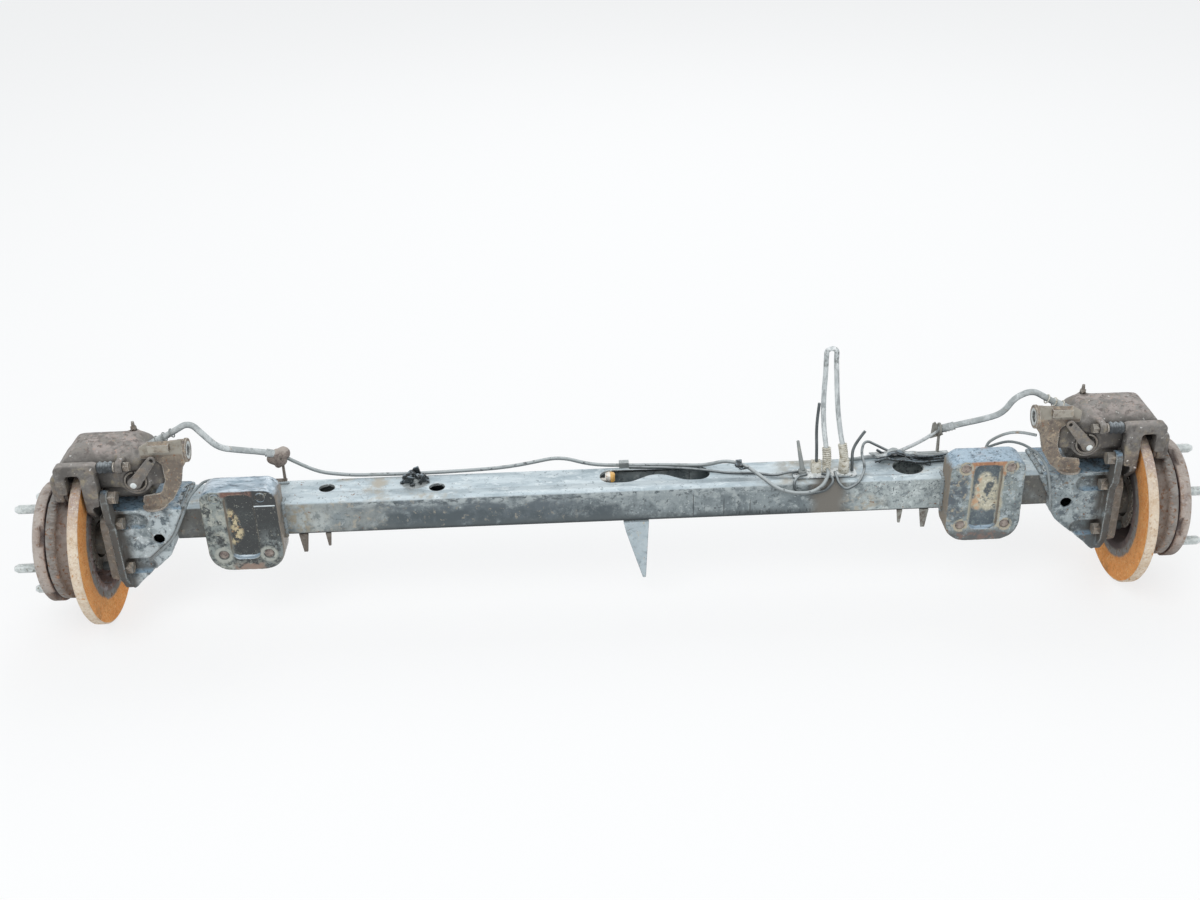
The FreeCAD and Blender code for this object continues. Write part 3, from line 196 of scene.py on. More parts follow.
def add(tree, kind, sockets=None, **options):
    """Adds a node with its options, and with its inputs set or linked by name or number."""
    made = tree.nodes.new(kind)
    for key, value in options.items():
        setattr(made, key, value)
    for key, value in (sockets or {}).items():
        socket = made.inputs[key]
        if isinstance(value, bpy.types.NodeSocket):
            tree.links.new(value, socket)
        else:
            socket.default_value = value
    return made


class Finish:
    """A material built up in layers; each layer lays a colour, a roughness and a height where its mask is."""

    def __init__(self, name, colour, rough, metal=0.0, round_mm=1.5, coat=0.0):
        self.material = bpy.data.materials.new(name)
        self.material.use_nodes = True
        self.tree = self.material.node_tree
        self.tree.nodes.clear()
        self.coordinates = add(self.tree, "ShaderNodeTexCoord")
        self.place = self.coordinates.outputs["Object"]
        self.colour = rgba(colour)
        self.rough = rough
        self.metal = metal
        self.height = None
        self.coat = coat
        self.round_mm = round_mm
        self.seed = 0.0

    def maths(self, operation, *values):
        """Result of a sum, from numbers and sockets."""
        return add(self.tree, "ShaderNodeMath", dict(enumerate(values)), operation=operation).outputs[0]

    def vector(self, operation, *values):
        """Results of a sum with vectors."""
        return add(self.tree, "ShaderNodeVectorMath", dict(enumerate(values)), operation=operation).outputs

    def times(self, *masks):
        """1 where all the masks are 1."""
        product = masks[0]
        for mask in masks[1:]:
            product = self.maths("MULTIPLY", product, mask)
        return product

    def other(self, mask):
        """1 where the mask is 0."""
        return self.maths("SUBTRACT", 1.0, mask)

    def between(self, value, start, end):
        """0 below start, 1 above end, smooth on the way; falls instead where end is below start."""
        made = add(self.tree, "ShaderNodeMapRange", {"Value": value, "From Min": start, "From Max": end},
                   interpolation_type="SMOOTHSTEP")
        return made.outputs["Result"]

    def within(self, value, low, high, soft):
        """1 where value lies from low to high."""
        start = self.between(value, low - soft, low + soft)
        return self.times(start, self.between(value, high + soft, high - soft))

    def stretched(self, size_mm, stretch=(1.0, 1.0, 1.0)):
        """The place in units of size_mm, shifted anew for each pattern."""
        self.seed += 7.31
        scale = [1.0 / (size_mm * MM * s) for s in stretch]
        shift = (self.seed, self.seed * 0.7, self.seed * 1.3)
        return add(self.tree, "ShaderNodeMapping",
                   {"Vector": self.place, "Scale": scale, "Location": shift}).outputs[0]

    def cloud(self, size_mm, detail=6.0, stretch=(1.0, 1.0, 1.0), twist=0.0):
        """Uneven values round 0.5 that swell and sink over about size_mm."""
        made = add(self.tree, "ShaderNodeTexNoise",
                   {"Vector": self.stretched(size_mm, stretch), "Scale": 1.0, "Detail": detail,
                    "Roughness": 0.66, "Distortion": twist})
        return made.outputs["Fac"]

    def patches(self, size_mm, cover, soft, stretch=(1.0, 1.0, 1.0)):
        """Blotches with ragged edges that cover about that share of the surface."""
        edge = 0.5 + (0.5 - cover) * 0.36
        return self.between(self.cloud(size_mm, 7.0, stretch, 0.2), edge - soft, edge + soft)

    def axis(self, name):
        """One of the three coordinates, in metres."""
        return add(self.tree, "ShaderNodeSeparateXYZ", {"Vector": self.place}).outputs[name]

    def reach(self):
        """Distance from the middle of the axle."""
        return self.maths("ABSOLUTE", self.axis("X"))

    def above_axis(self, low, high, soft=0.002):
        """1 where the height above the hub axis lies from low to high."""
        return self.within(self.axis("Z"), AXLE_Z + low, AXLE_Z + high, soft)

    def rising(self, start, end):
        """1 above the height where it ends; with the heights the other way round, 1 below."""
        return self.between(self.axis("Z"), start, end)

    def facing(self, name, low, high):
        """1 where the surface looks along that axis of the object."""
        made = add(self.tree, "ShaderNodeSeparateXYZ", {"Vector": self.coordinates.outputs["Normal"]})
        return self.between(made.outputs[name], low, high)

    def distance(self, point, weights=(1.0, 1.0, 1.0)):
        """Distance from a point, with each direction weighed; 0 leaves a direction out."""
        apart = self.vector("SUBTRACT", self.place, point)[0]
        return self.vector("LENGTH", self.vector("MULTIPLY", apart, weights)[0])["Value"]

    def spots(self, places, radius_mm, weights=(1.0, 1.0, 1.0), soft=0.3):
        """1 within the radius of any of the places (x, y, height above the hub axis, all in millimetres)."""
        nearest = None
        for x, y, height in places:
            away = self.distance((x * MM, y * MM, AXLE_Z + height * MM), weights)
            nearest = away if nearest is None else self.maths("MINIMUM", nearest, away)
        return self.between(nearest, radius_mm * MM * (1 + soft), radius_mm * MM * (1 - soft))

    def wheel_radius(self):
        """Distance from the hub axis."""
        return self.distance((0.0, 0.0, AXLE_Z), (0.0, 1.0, 1.0))

    def edges(self, round_mm=2.0):
        """1 along sharp edges, where paint wears through; on the beam a painted highlight is laid along them
        too.
        """
        bevel = add(self.tree, "ShaderNodeBevel", {"Radius": round_mm * MM}, samples=4)
        plain = add(self.tree, "ShaderNodeNewGeometry").outputs["Normal"]
        return self.between(self.vector("DOT_PRODUCT", bevel.outputs[0], plain)["Value"], 0.995, 0.93)

    def corners(self, reach_mm=20.0):
        """1 in corners and behind other pieces, where dirt stays and shade falls: an ambient occlusion mask,
        so what it darkens is painted shade as well as dirt.
        """
        made = add(self.tree, "ShaderNodeAmbientOcclusion", {"Distance": reach_mm * MM}, samples=6)
        return self.between(made.outputs["AO"], 0.85, 0.35)

    def lay(self, mask, colour, rough=None, height_mm=0.0, metal=None):
        """Lays a colour where the mask is 1, with a roughness, a height and a metallic share if given."""
        made = add(self.tree, "ShaderNodeMix", {0: mask, 6: self.colour, 7: rgba(colour)}, data_type="RGBA")
        self.colour = made.outputs[2]
        if rough is not None and rough != self.rough:
            self.rough = add(self.tree, "ShaderNodeMix", {0: mask, 2: self.rough, 3: rough}).outputs[0]
        if metal is not None and metal != self.metal:
            self.metal = add(self.tree, "ShaderNodeMix", {0: mask, 2: self.metal, 3: metal}).outputs[0]
        if height_mm:
            self.raise_by(mask, height_mm)

    def mottle(self, mask, *rows, stretch=(1.0, 1.0, 1.0)):
        """Lays blotches one over the other, on the mask or, with None, all over.

        Each row is their size in mm, cover and softness, and then what lay takes after its mask.
        """
        for size_mm, cover, soft, *look in rows:
            blotches = self.patches(size_mm, cover, soft, stretch)
            self.lay(blotches if mask is None else self.times(mask, blotches), *look)

    def raise_by(self, mask, height_mm):
        """Lifts the surface where the mask is 1, or sinks it."""
        lift = self.maths("MULTIPLY", mask, height_mm * MM)
        self.height = lift if self.height is None else self.maths("ADD", self.height, lift)

    def done(self, grain_mm, height_mm):
        """The finished material under a last even grain, as wide as it needs to be to show."""
        self.raise_by(self.cloud(grain_mm), height_mm)
        bevel = add(self.tree, "ShaderNodeBevel", {"Radius": self.round_mm * MM}, samples=4)
        bump = add(self.tree, "ShaderNodeBump", {"Height": self.height, "Distance": 1.0, "Strength": 1.0,
                                                 "Normal": bevel.outputs[0]})
        shader = add(self.tree, "ShaderNodeBsdfPrincipled",
                     {"Base Color": self.colour, "Roughness": self.rough, "Metallic": self.metal,
                      "Coat Weight": self.coat, "Coat Roughness": 0.08, "Normal": bump.outputs[0]})
        add(self.tree, "ShaderNodeOutputMaterial", {"Surface": shader.outputs[0]})
        return self.material


# Finishes. Real grains of paint, rust and dust are a few tenths of a millimetre wide and wouldn't show: all
# patterns under 6 mm and the last grains are drawn coarser than the real ones, as wide as they need to show.
def chalked_chassis_paint():
    """Dark chassis paint, sprayed and then bleached by weather: chalky and pale on top, where a painted
    highlight adds to the bleaching, with painted shade underneath, dirty at the ends.
    """
    f = Finish("chalked_chassis_paint", settings().paint_front, 0.6, round_mm=2.0)
    reach = f.reach()
    x = f.axis("X")
    front = f.facing("Y", -0.6, -0.9)
    low_half = f.rising(BEAM_LOW.z + 0.044, BEAM_LOW.z + 0.030)
    f.mottle(None, (110, 0.45, 0.16, "#939B9C"), (40, 0.45, 0.09, "#6C7578"), (17, 0.3, 0.07, "#A1A8A8", 0.7),
             (9, 0.27, 0.05, "#596164", 0.5), (5, 0.12, 0.04, "#B7BDBC", 0.7))
    # The dark stretch left of the middle
    dark = f.within(x, -0.41, -0.06, 0.04)
    f.mottle(dark, (34, 0.66, 0.1, "#5C656A", 0.5))
    f.mottle(f.times(f.within(x, -0.41, 0.02, 0.04), low_half), (26, 0.6, 0.1, "#4C5559", 0.5))
    f.mottle(dark, (9, 0.18, 0.04, "#8E8A80", 0.8))
    # The round edges above and below, with a worn comb in the lower one
    high = f.rising(BEAM_HIGH.z - 0.018, BEAM_HIGH.z - 0.008)
    f.mottle(high, (12, 0.45, 0.09, "#A7AEAE", 0.7), (6, 0.28, 0.05, "#50585B", 0.6), stretch=(2.0, 1.0, 1.0))
    low = f.rising(BEAM_LOW.z + 0.020, BEAM_LOW.z + 0.008)
    f.mottle(low, (22, 0.72, 0.14, "#545B5D", 0.65))
    skirt = f.rising(BEAM_LOW.z + 0.010, BEAM_LOW.z + 0.004)
    f.mottle(skirt, (14, 0.85, 0.12, "#3B4143", 0.7))
    lip = f.rising(BEAM_LOW.z + 0.016, BEAM_LOW.z + 0.008)
    comb = f.times(f.within(x, 0.19, 0.345, 0.01), lip)
    f.mottle(comb, (4, 0.4, 0.05, "#2F3537", 0.6), stretch=(1.0, 1.0, 5.0))
    # Runs down the front, three of them thin and dark
    f.mottle(front, (11, 0.1, 0.05, "#4F575A", 0.55), stretch=(1.0, 1.0, 9.0))
    for along, up_to in ((0.1270, 0.062), (0.1767, 0.052), (0.2191, 0.046)):
        run = f.times(f.within(x, along - 0.0006, along + 0.0006, 0.0005), f.above_axis(0.020, up_to, 0.006))
        f.lay(f.times(run, front), "#2E3436", 0.5)
    # Dirt on the front below the line bracket, darkened further as the bracket's painted shadow
    front_dirt_and_shadow = f.times(f.within(x, 0.318, 0.370, 0.014), f.above_axis(0.044, 0.080, 0.008))
    f.mottle(front_dirt_and_shadow, (30, 0.95, 0.12, "#66625B", 0.85), (8, 0.4, 0.06, "#544F47", 0.9))
    # The pale right end
    right = f.within(x, 0.385, 0.54, 0.02)
    f.mottle(right, (34, 0.72, 0.1, "#A6AEAD", 0.7), (15, 0.32, 0.06, "#C1C8C6", 0.7),
             (9, 0.26, 0.05, "#7A8283", 0.6))
    grey = f.times(right, f.above_axis(0.030, 0.080, 0.012))
    f.mottle(grey, (5, 0.22, 0.04, "#646C6F", 0.6), (14, 0.25, 0.06, "#70787A", 0.6))
    f.mottle(right, (3, 0.1, 0.03, "#DDE2E1", 0.6))
    beige = f.times(f.within(x, 0.368, 0.43, 0.02), f.above_axis(0.016, 0.046, 0.01))
    f.mottle(beige, (12, 0.42, 0.07, "#A8A294", 0.85))
    # The dirty left end, and what lies under and beyond the seats
    left = f.within(x, -0.53, -0.38, 0.04)
    f.mottle(left, (40, 0.45, 0.14, "#949895", 0.8), (12, 0.2, 0.06, "#A39E92", 0.85))
    bare = f.times(f.within(x, -0.511, -0.460, 0.016), f.above_axis(0.018, 0.060, 0.016), front)
    f.mottle(bare, (17, 0.62, 0.08, "#B0B5B2", 0.75), (8, 0.3, 0.05, "#7D8483", 0.7))
    f.mottle(f.times(f.within(x, -0.526, -0.490, 0.012), front), (12, 0.45, 0.08, "#98907F", 0.85))
    ends = f.between(reach, SEAT_X + SEAT_HALF - 0.008, SEAT_X + SEAT_HALF)
    f.mottle(ends, (60, 0.92, 0.2, "#62615D", 0.85), (10, 0.25, 0.05, "#7D7A72", 0.9),
             (6, 0.2, 0.05, "#494845", 0.9))
    # The underside, darker as painted shade, and the top, pale from bleaching and as a painted highlight of
    # the sky light
    f.lay(f.facing("Z", -0.2, -0.7), "#3C4142", 0.8)
    top = f.facing("Z", 0.5, 0.85)
    f.lay(top, settings().paint_top_bleached_and_lit, 0.55)
    f.mottle(top, (80, 0.5, 0.14, "#CFD9DC"), stretch=(2.5, 1.0, 1.0))
    f.mottle(top, (30, 0.42, 0.1, "#A9B7BD"), stretch=(3.0, 1.0, 1.0))
    f.mottle(top, (12, 0.28, 0.07, "#D9E2E4"), stretch=(2.0, 1.0, 1.0))
    f.mottle(top, (6, 0.16, 0.05, "#8A979C"))
    f.mottle(f.times(top, f.between(reach, 0.2, 0.3)), (70, 0.24, 0.08, "#B4AFA3", 0.8))
    f.mottle(f.times(top, f.within(x, 0.27, 0.36, 0.02)), (26, 0.5, 0.1, "#ABABA5", 0.8))
    # Dirt on the front strip of the top under the line bracket, darkened further as the bracket's painted
    # shadow
    fore = f.between(f.axis("Y"), BEAM_LOW.y + 0.030, BEAM_LOW.y + 0.018)
    top_dirt_and_shadow = f.times(f.within(x, 0.322, 0.370, 0.012), fore)
    f.mottle(top_dirt_and_shadow, (30, 0.92, 0.12, "#75716A", 0.85))
    # Paint worn through along the edges, with a painted highlight along them that is strongest left of the
    # middle, and rust spots at both ends
    wear_and_highlight = f.times(f.within(x, -0.40, 0.035, 0.02), f.patches(16, 0.85, 0.08))
    f.lay(f.times(f.edges(2.5), f.maths("MAXIMUM", wear_and_highlight, f.patches(16, 0.5, 0.08))), "#E3E9EA", 0.5)
    f.mottle(f.between(reach, 0.35, 0.45), (8, 0.1, 0.03, "#7E5B44", 0.95, -0.15))
    return f.done(5, 0.15)


def gloss_seat_paint():
    """Gloss black paint on pressed steel, still shiny where it was wiped, with dried mud and rust runs."""
    f = Finish("gloss_seat_paint", "#1A2122", 0.16, round_mm=2.0, coat=0.5)
    x = f.maths("ADD", f.axis("X"), SEAT_X)
    f.mottle(None, (26, 0.3, 0.1, "#2B3333", 0.3))
    outer = f.between(x, -0.017, -0.027)
    f.mottle(outer, (24, 0.72, 0.08, "#868D89", 0.85), (15, 0.42, 0.06, "#A6A89E", 0.85, 0.15),
             (12, 0.32, 0.05, "#323938", 0.4), (6, 0.2, 0.05, "#50575A", 0.6))
    inner = f.times(f.between(x, 0.020, 0.036), f.above_axis(-0.03, 0.036, 0.020))
    f.mottle(inner, (13, 0.5, 0.07, "#7C8382", 0.8), (6, 0.35, 0.05, "#464D4D", 0.6))
    low = f.rising(SEAT_LOW.z + 0.040, SEAT_LOW.z + 0.010)
    f.mottle(low, (10, 0.42, 0.05, "#7F817A", 0.85), (5, 0.3, 0.05, "#323838", 0.5))
    foot = f.rising(SEAT_LOW.z + 0.017, SEAT_LOW.z + 0.012)
    run = f.times(f.within(x, -0.022, 0.026, 0.006), foot)
    f.mottle(run, (14, 0.6, 0.07, "#8F7A6D", 0.9))
    f.mottle(None, (6, 0.12, 0.03, "#8F8E83", 0.9), (4, 0.08, 0.03, "#B5B5AC", 0.8))
    mud = f.spots(((-609, -66, 70), (-605, -66, 60), (-606, -66, 46), (-601, -66, 39)), 8.0,
                  (1.2, 0.3, 0.75), soft=0.5)
    low_mud = f.spots(((-610, -66, 24), (-604, -66, 30)), 6.5, (1.2, 0.3, 0.9), soft=0.5)
    mud = f.maths("MAXIMUM", mud, low_mud)
    f.mottle(mud, (8, 0.5, 0.05, "#C5B692", 0.9, 0.3), (5, 0.25, 0.05, "#B08255", 0.9))
    brown = f.times(f.within(x, -0.027, 0.022, 0.004), f.above_axis(0.108, 0.118, 0.003))
    f.mottle(brown, (18, 0.8, 0.1, "#6E4D41", 0.7), (5, 0.25, 0.05, "#8D6A5A", 0.8))
    f.mottle(f.facing("X", 0.5, 0.9), (20, 0.8, 0.12, "#857B6F", 0.85))
    # Painted reflection of the sky on the upward faces of the gloss black: pale bluish, with paler and darker
    # streaks
    top = f.facing("Z", 0.25, 0.75)
    f.mottle(top, (40, 0.92, 0.15, "#94A6B2", 0.22))
    f.mottle(top, (12, 0.4, 0.08, "#C6D3DC", 0.25), (9, 0.28, 0.06, "#5B6A75", 0.2), stretch=(3.0, 1.0, 1.0))
    f.mottle(f.edges(3), (10, 0.45, 0.05, "#A9A392", 0.8))
    for side in (-1.0, 1.0):
        hole = f.distance((-SEAT_X + side * HOLE_ACROSS * MM, 0.0, AXLE_Z + HOLE_ROWS["low"] * MM),
                          (1.0, 0.0, 1.0))
        f.mottle(f.between(hole, 0.0165, 0.0125), (9, 0.7, 0.07, "#A3A59C", 0.8))
        f.lay(f.within(hole, 0.0072, 0.0088, 0.0008), "#5E605C", 0.8)
    scratch = f.times(f.within(x, 0.024, 0.057, 0.001), f.above_axis(0.0890, 0.0910, 0.0005))
    f.mottle(scratch, (20, 0.85, 0.1, "#DCE4E6", 0.5))
    f.raise_by(f.cloud(9), 0.2)
    return f.done(3, 0.08)


def mottled_seat_paint():
    """Chassis paint on pressed steel, lifted and patchy: beige dirt in the channel and rust at its head."""
    f = Finish("mottled_seat_paint", "#87908F", 0.6, round_mm=2.0)
    x = f.maths("SUBTRACT", f.axis("X"), SEAT_X)
    across = f.maths("ABSOLUTE", x)
    f.mottle(None, (46, 0.45, 0.12, "#99A3A5"), (20, 0.42, 0.07, "#646D70", 0.55),
             (12, 0.34, 0.06, "#A9B3B6"), (7, 0.22, 0.05, "#50575B", 0.5),
             (11, 0.16, 0.04, "#B0AB9B", 0.9, 0.15), (3, 0.12, 0.03, "#C2CACB", 0.6))
    # Painted shade in dark patches on the seat's inboard side, with beige dirt specks in it
    shaded_flank = f.times(f.between(x, -0.026, -0.034), f.above_axis(0.020, 0.090, 0.010))
    f.mottle(shaded_flank, (20, 0.6, 0.07, "#586066", 0.6), (9, 0.25, 0.05, "#A59D8B", 0.85))
    lower = f.rising(SEAT_LOW.z + 0.030, SEAT_LOW.z + 0.012)
    f.mottle(lower, (16, 0.75, 0.1, "#5D5F5E", 0.7), (9, 0.35, 0.06, "#7D6A62", 0.85))
    channel = f.times(f.between(across, 0.0215, 0.019), f.above_axis(-0.004, 0.108, 0.002))
    f.mottle(channel, (26, 0.85, 0.15, "#566066", 0.5), (5, 0.3, 0.05, "#76807F", 0.6))
    core = f.spots(((592, -60, 82), (600, -60, 74), (588, -60, 66), (606, -60, 62), (586, -60, 54),
                    (604, -60, 48), (590, -60, 42), (600, -60, 36), (610, -60, 38), (584, -60, 38)), 11.0,
                   (1.0, 0.2, 0.9))
    f.mottle(core, (9, 0.72, 0.05, "#BDB7A2", 0.9, 0.25), (5, 0.3, 0.05, "#D2CDBB", 0.9))
    f.mottle(f.times(core, f.between(x, -0.004, -0.010)), (9, 0.45, 0.06, "#C6A283", 0.9))
    hollow = f.spots(((600, -60, 70), (597, -60, 61)), 6.5, (1.0, 0.2, 1.0))
    f.mottle(hollow, (5, 0.7, 0.05, "#575D5F", 0.8))
    rim = f.times(f.within(across, 0.0200, 0.0265, 0.0015), f.above_axis(-0.004, 0.104, 0.002))
    f.mottle(rim, (12, 0.62, 0.06, "#A8A493", 0.85))
    head = f.times(f.between(across, 0.029, 0.026), f.above_axis(0.1105, 0.1220, 0.0018))
    f.mottle(head, (16, 0.82, 0.08, "#A5765A", 0.9), (5, 0.3, 0.05, "#B7906F", 0.9))
    legs = f.times(f.within(across, 0.022, 0.0285, 0.0012), f.above_axis(0.092, 0.115, 0.004))
    f.mottle(legs, (12, 0.66, 0.07, "#AB8467", 0.9))
    f.mottle(f.facing("X", -0.5, -0.9), (20, 0.85, 0.12, "#857C70", 0.85))
    # Painted highlight of the sky on the upward faces: pale bluish, with darker and paler blotches
    top = f.facing("Z", 0.25, 0.75)
    f.mottle(top, (40, 0.92, 0.15, "#A4B8C6", 0.45), (12, 0.34, 0.06, "#7F93A2", 0.45),
             (6, 0.24, 0.04, "#55636D", 0.6), (4, 0.14, 0.04, "#C6D4DC", 0.6))
    f.mottle(f.edges(3), (9, 0.45, 0.05, "#B3A893", 0.8))
    for side in (-1.0, 1.0):
        for height in HOLE_ROWS.values():
            hole = f.distance((SEAT_X + side * HOLE_ACROSS * MM, 0.0, AXLE_Z + height * MM), (1.0, 0.0, 1.0))
            f.mottle(f.within(hole, 0.007, 0.0118, 0.0012), (7, 0.62, 0.06, "#AFA692", 0.85))
    f.mottle(None, (6, 0.08, 0.03, "#7B5A44", 0.95))
    f.raise_by(f.cloud(6), 0.25)
    return f.done(2.5, 0.08)


def mottled_knuckle_paint():
    """Chassis paint on welded plate: grey, chalked, with dark patches where the film is gone."""
    f = Finish("mottled_knuckle_paint", "#8B9597", 0.6, round_mm=2.0)
    x = f.axis("X")
    f.mottle(None, (60, 0.45, 0.12, "#7A8487"), (22, 0.4, 0.06, "#A2ACAE"), (13, 0.32, 0.05, "#5B656B", 0.55),
             (6, 0.25, 0.05, "#B0BABC"), (4, 0.2, 0.04, "#4E575C", 0.5), (14, 0.1, 0.04, "#7D6F61", 0.9))
    pale = f.between(x, -0.60, -0.62)
    f.mottle(pale, (30, 0.6, 0.08, "#BAC3C5", 0.6))
    f.mottle(f.times(pale, f.facing("Y", -0.5, -0.9)), (16, 0.3, 0.06, "#5A656B", 0.6))
    f.mottle(pale, (7, 0.2, 0.05, "#D3DADB", 0.6))
    reach = f.reach()
    f.mottle(f.between(reach, 0.772, 0.792), (40, 0.85, 0.12, "#5B5955", 0.9))
    low = f.rising(AXLE_Z - 0.004, AXLE_Z - 0.045)
    f.mottle(low, (20, 0.55, 0.08, "#596063", 0.7))
    # Dirt and painted shade in the corners
    f.mottle(f.corners(25), (30, 0.85, 0.12, "#514B44", 0.95))
    # Blue tint of the sky light painted on the upward faces, with darker blotches
    f.mottle(f.facing("Z", 0.5, 0.9), (20, 0.6, 0.08, "#7F97A8", 0.5), (5, 0.3, 0.05, "#43525E", 0.5))
    f.mottle(f.edges(2.5), (12, 0.6, 0.06, "#C3CACA", 0.6))
    f.mottle(None, (7, 0.08, 0.03, "#7B5C48", 0.95))
    f.raise_by(f.cloud(5), 0.25)
    return f.done(2, 0.08)


def bracket_paint():
    """Thin grey paint on cut plate with a dark bare edge."""
    f = Finish("bracket_paint", "#A9B5BA", 0.6, round_mm=0.8)
    f.mottle(None, (30, 0.45, 0.12, "#BAC5C9"), (9, 0.26, 0.07, "#8F9BA0"), (5, 0.2, 0.05, "#B6C0C3"),
             (9, 0.12, 0.03, "#BDB5A2", 0.8))
    f.lay(f.edges(1.2), "#4B5357", 0.5)
    f.mottle(None, (6, 0.08, 0.03, "#84614A", 0.9))
    return f.done(3, 0.08)


def weathered_cast_iron():
    """Sand-cast iron, oiled by brake dust and then rusted: warm grey, with a pale pinkish painted highlight
    on its crown.
    """
    f = Finish("weathered_cast_iron", settings().iron, 0.85, round_mm=2.0)
    f.mottle(None, (46, 0.45, 0.12, "#6D6A66"), (24, 0.35, 0.08, "#857A6E", 0.9),
             (15, 0.25, 0.06, "#958B76", 0.9), (9, 0.22, 0.05, "#5A5652", 0.8),
             (4, 0.25, 0.07, "#8E8880", 0.8))
    # Painted highlight: paler on the upward faces, pale pinkish on the crown and on the top of the dome's
    # outer end
    up = f.facing("Z", 0.1, 0.85)
    f.mottle(up, (40, 0.72, 0.15, "#8F8B86", 0.8))
    crown = f.times(f.facing("Z", 0.3, 0.9), f.rising(AXLE_Z + 0.168, AXLE_Z + 0.180))
    f.mottle(crown, (24, 0.45, 0.08, "#A69C96", 0.75), (9, 0.32, 0.06, "#6F6863", 0.8),
             (6, 0.14, 0.05, "#B59A8C", 0.8))
    outer = f.times(f.between(f.reach(), DISC_IN - 0.02, DISC_IN + 0.01), f.above_axis(0.196, 0.222, 0.008))
    f.mottle(outer, (20, 0.5, 0.1, "#C2B6AC", 0.75))
    # Painted shade: darker on the faces that look down, in blotches on the faces that look forward, and
    # together with dirt in the corners
    f.lay(f.facing("Z", -0.3, -0.9), "#4A4744", 0.9)
    f.mottle(f.corners(26), (60, 0.92, 0.12, "#33302D", 0.95))
    f.mottle(f.facing("Y", -0.4, -0.9), (30, 0.4, 0.1, "#5B5753", 0.8))
    f.mottle(f.edges(2), (15, 0.5, 0.08, "#B0A79E", 0.6))
    f.mottle(None, (9, 0.05, 0.015, "#DAD9D4", 0.6))
    f.raise_by(f.cloud(2.2), 0.25)
    return f.done(14, 0.5)


def rusted_bracket_steel():
    """Stamped steel strap with old brown rust and pale worn rims."""
    f = Finish("rusted_bracket_steel", "#756B61", 0.85, round_mm=1.0)
    f.mottle(None, (24, 0.45, 0.1, "#978B7B", 0.9), (12, 0.3, 0.06, "#69605A", 0.85),
             (8, 0.25, 0.05, "#AA9A85", 0.9), (5, 0.15, 0.05, "#8A6248", 0.9))
    bore = f.distance((0.0, RING_Y, AXLE_Z + 0.188), (0.0, 1.0, 1.0))
    ring = f.times(f.between(f.reach(), DISC_IN - 0.166, DISC_IN - 0.171), f.between(bore, 0.0150, 0.0130))
    f.mottle(ring, (16, 0.8, 0.1, "#C3C7C5", 0.5, 0, 0.3))
    f.lay(f.edges(2.2), "#CFCDC6", 0.45, metal=0.3)
    # Painted shade, dark, inside the bore of the ring
    inboard = f.between(f.reach(), DISC_IN - 0.162, DISC_IN - 0.166)
    flat = f.maths("MAXIMUM", f.facing("X", 0.3, 0.6), f.facing("X", -0.3, -0.6))
    f.lay(f.times(f.between(bore, 0.0096, 0.0088), inboard, f.other(flat)), "#3C3B39", 0.9)
    stop = f.times(f.other(inboard), f.above_axis(0.176, 0.204, 0.002))
    f.mottle(f.times(stop, f.facing("Y", -0.4, -0.9)), (16, 0.7, 0.1, "#A59F93", 0.85))
    return f.done(3, 0.25)


def rusted_disc():
    """Turned iron disc left outdoors: fresh orange rust where it was swept, a grey ring, a pale scaly rim."""
    f = Finish("rusted_disc", "#84706A", 0.9, round_mm=0.6)
    f.mottle(None, (26, 0.45, 0.1, "#9C837C", 0.9), stretch=(1.0, 2.5, 2.5))
    f.mottle(None, (14, 0.3, 0.06, "#4C3B3C", 0.8), (9, 0.25, 0.05, "#9A7660", 0.95, 0.2),
             (22, 0.14, 0.04, "#A7A2A3", 0.6))
    f.mottle(f.between(f.axis("X"), 0.6, 0.7), (60, 0.8, 0.15, "#5C504E", 0.9))
    f.mottle(f.between(f.axis("X"), -0.6, -0.7), (14, 0.3, 0.06, "#B5ABAC", 0.6))
    radius = f.wheel_radius()
    inner = f.between(radius, DISC_R - 0.056, DISC_R - 0.050)
    f.lay(inner, "#837F7A", 0.85)
    f.mottle(inner, (14, 0.5, 0.1, "#989590", 0.85), (8, 0.25, 0.05, "#7B5A42", 0.9))
    ragged = f.maths("ADD", radius, f.maths("MULTIPLY", f.maths("SUBTRACT", f.cloud(14), 0.5), 0.010))
    swept = f.between(ragged, DISC_R - 0.043, DISC_R - 0.037)
    f.lay(swept, settings().rust, 0.85)
    f.mottle(swept, (50, 0.5, 0.16, "#F0A65C"), (11, 0.35, 0.1, "#DA8840", 0.9), (3, 0.3, 0.1, "#E8B273"),
             (2, 0.25, 0.1, "#B8753D"), (70, 0.18, 0.08, "#B07C4C", 0.9), (5, 0.2, 0.06, "#F2BE82", 0.9))
    rim = f.between(radius, DISC_R - 0.0022, DISC_R - 0.0012)
    f.lay(rim, "#E2D0B9", 0.9)
    f.mottle(rim, (24, 0.4, 0.1, "#D3BB9F"))
    f.mottle(f.times(rim, f.rising(AXLE_Z + 0.07, AXLE_Z + 0.12)), (20, 0.6, 0.1, "#B9A49A"))
    f.mottle(rim, (3, 0.26, 0.08, "#EADFD0", 0.8, 0.2), (4.5, 0.24, 0.08, "#C4A586", 0.95, 0.2),
             (12, 0.14, 0.04, "#C88F52", 0.9))
    # Painted shade with dirt in the corners off the swept face, dark in the gap at the hat
    f.lay(f.times(f.other(swept), f.corners(18)), "#38292A", 0.9)
    return f.done(1.6, 0.12)


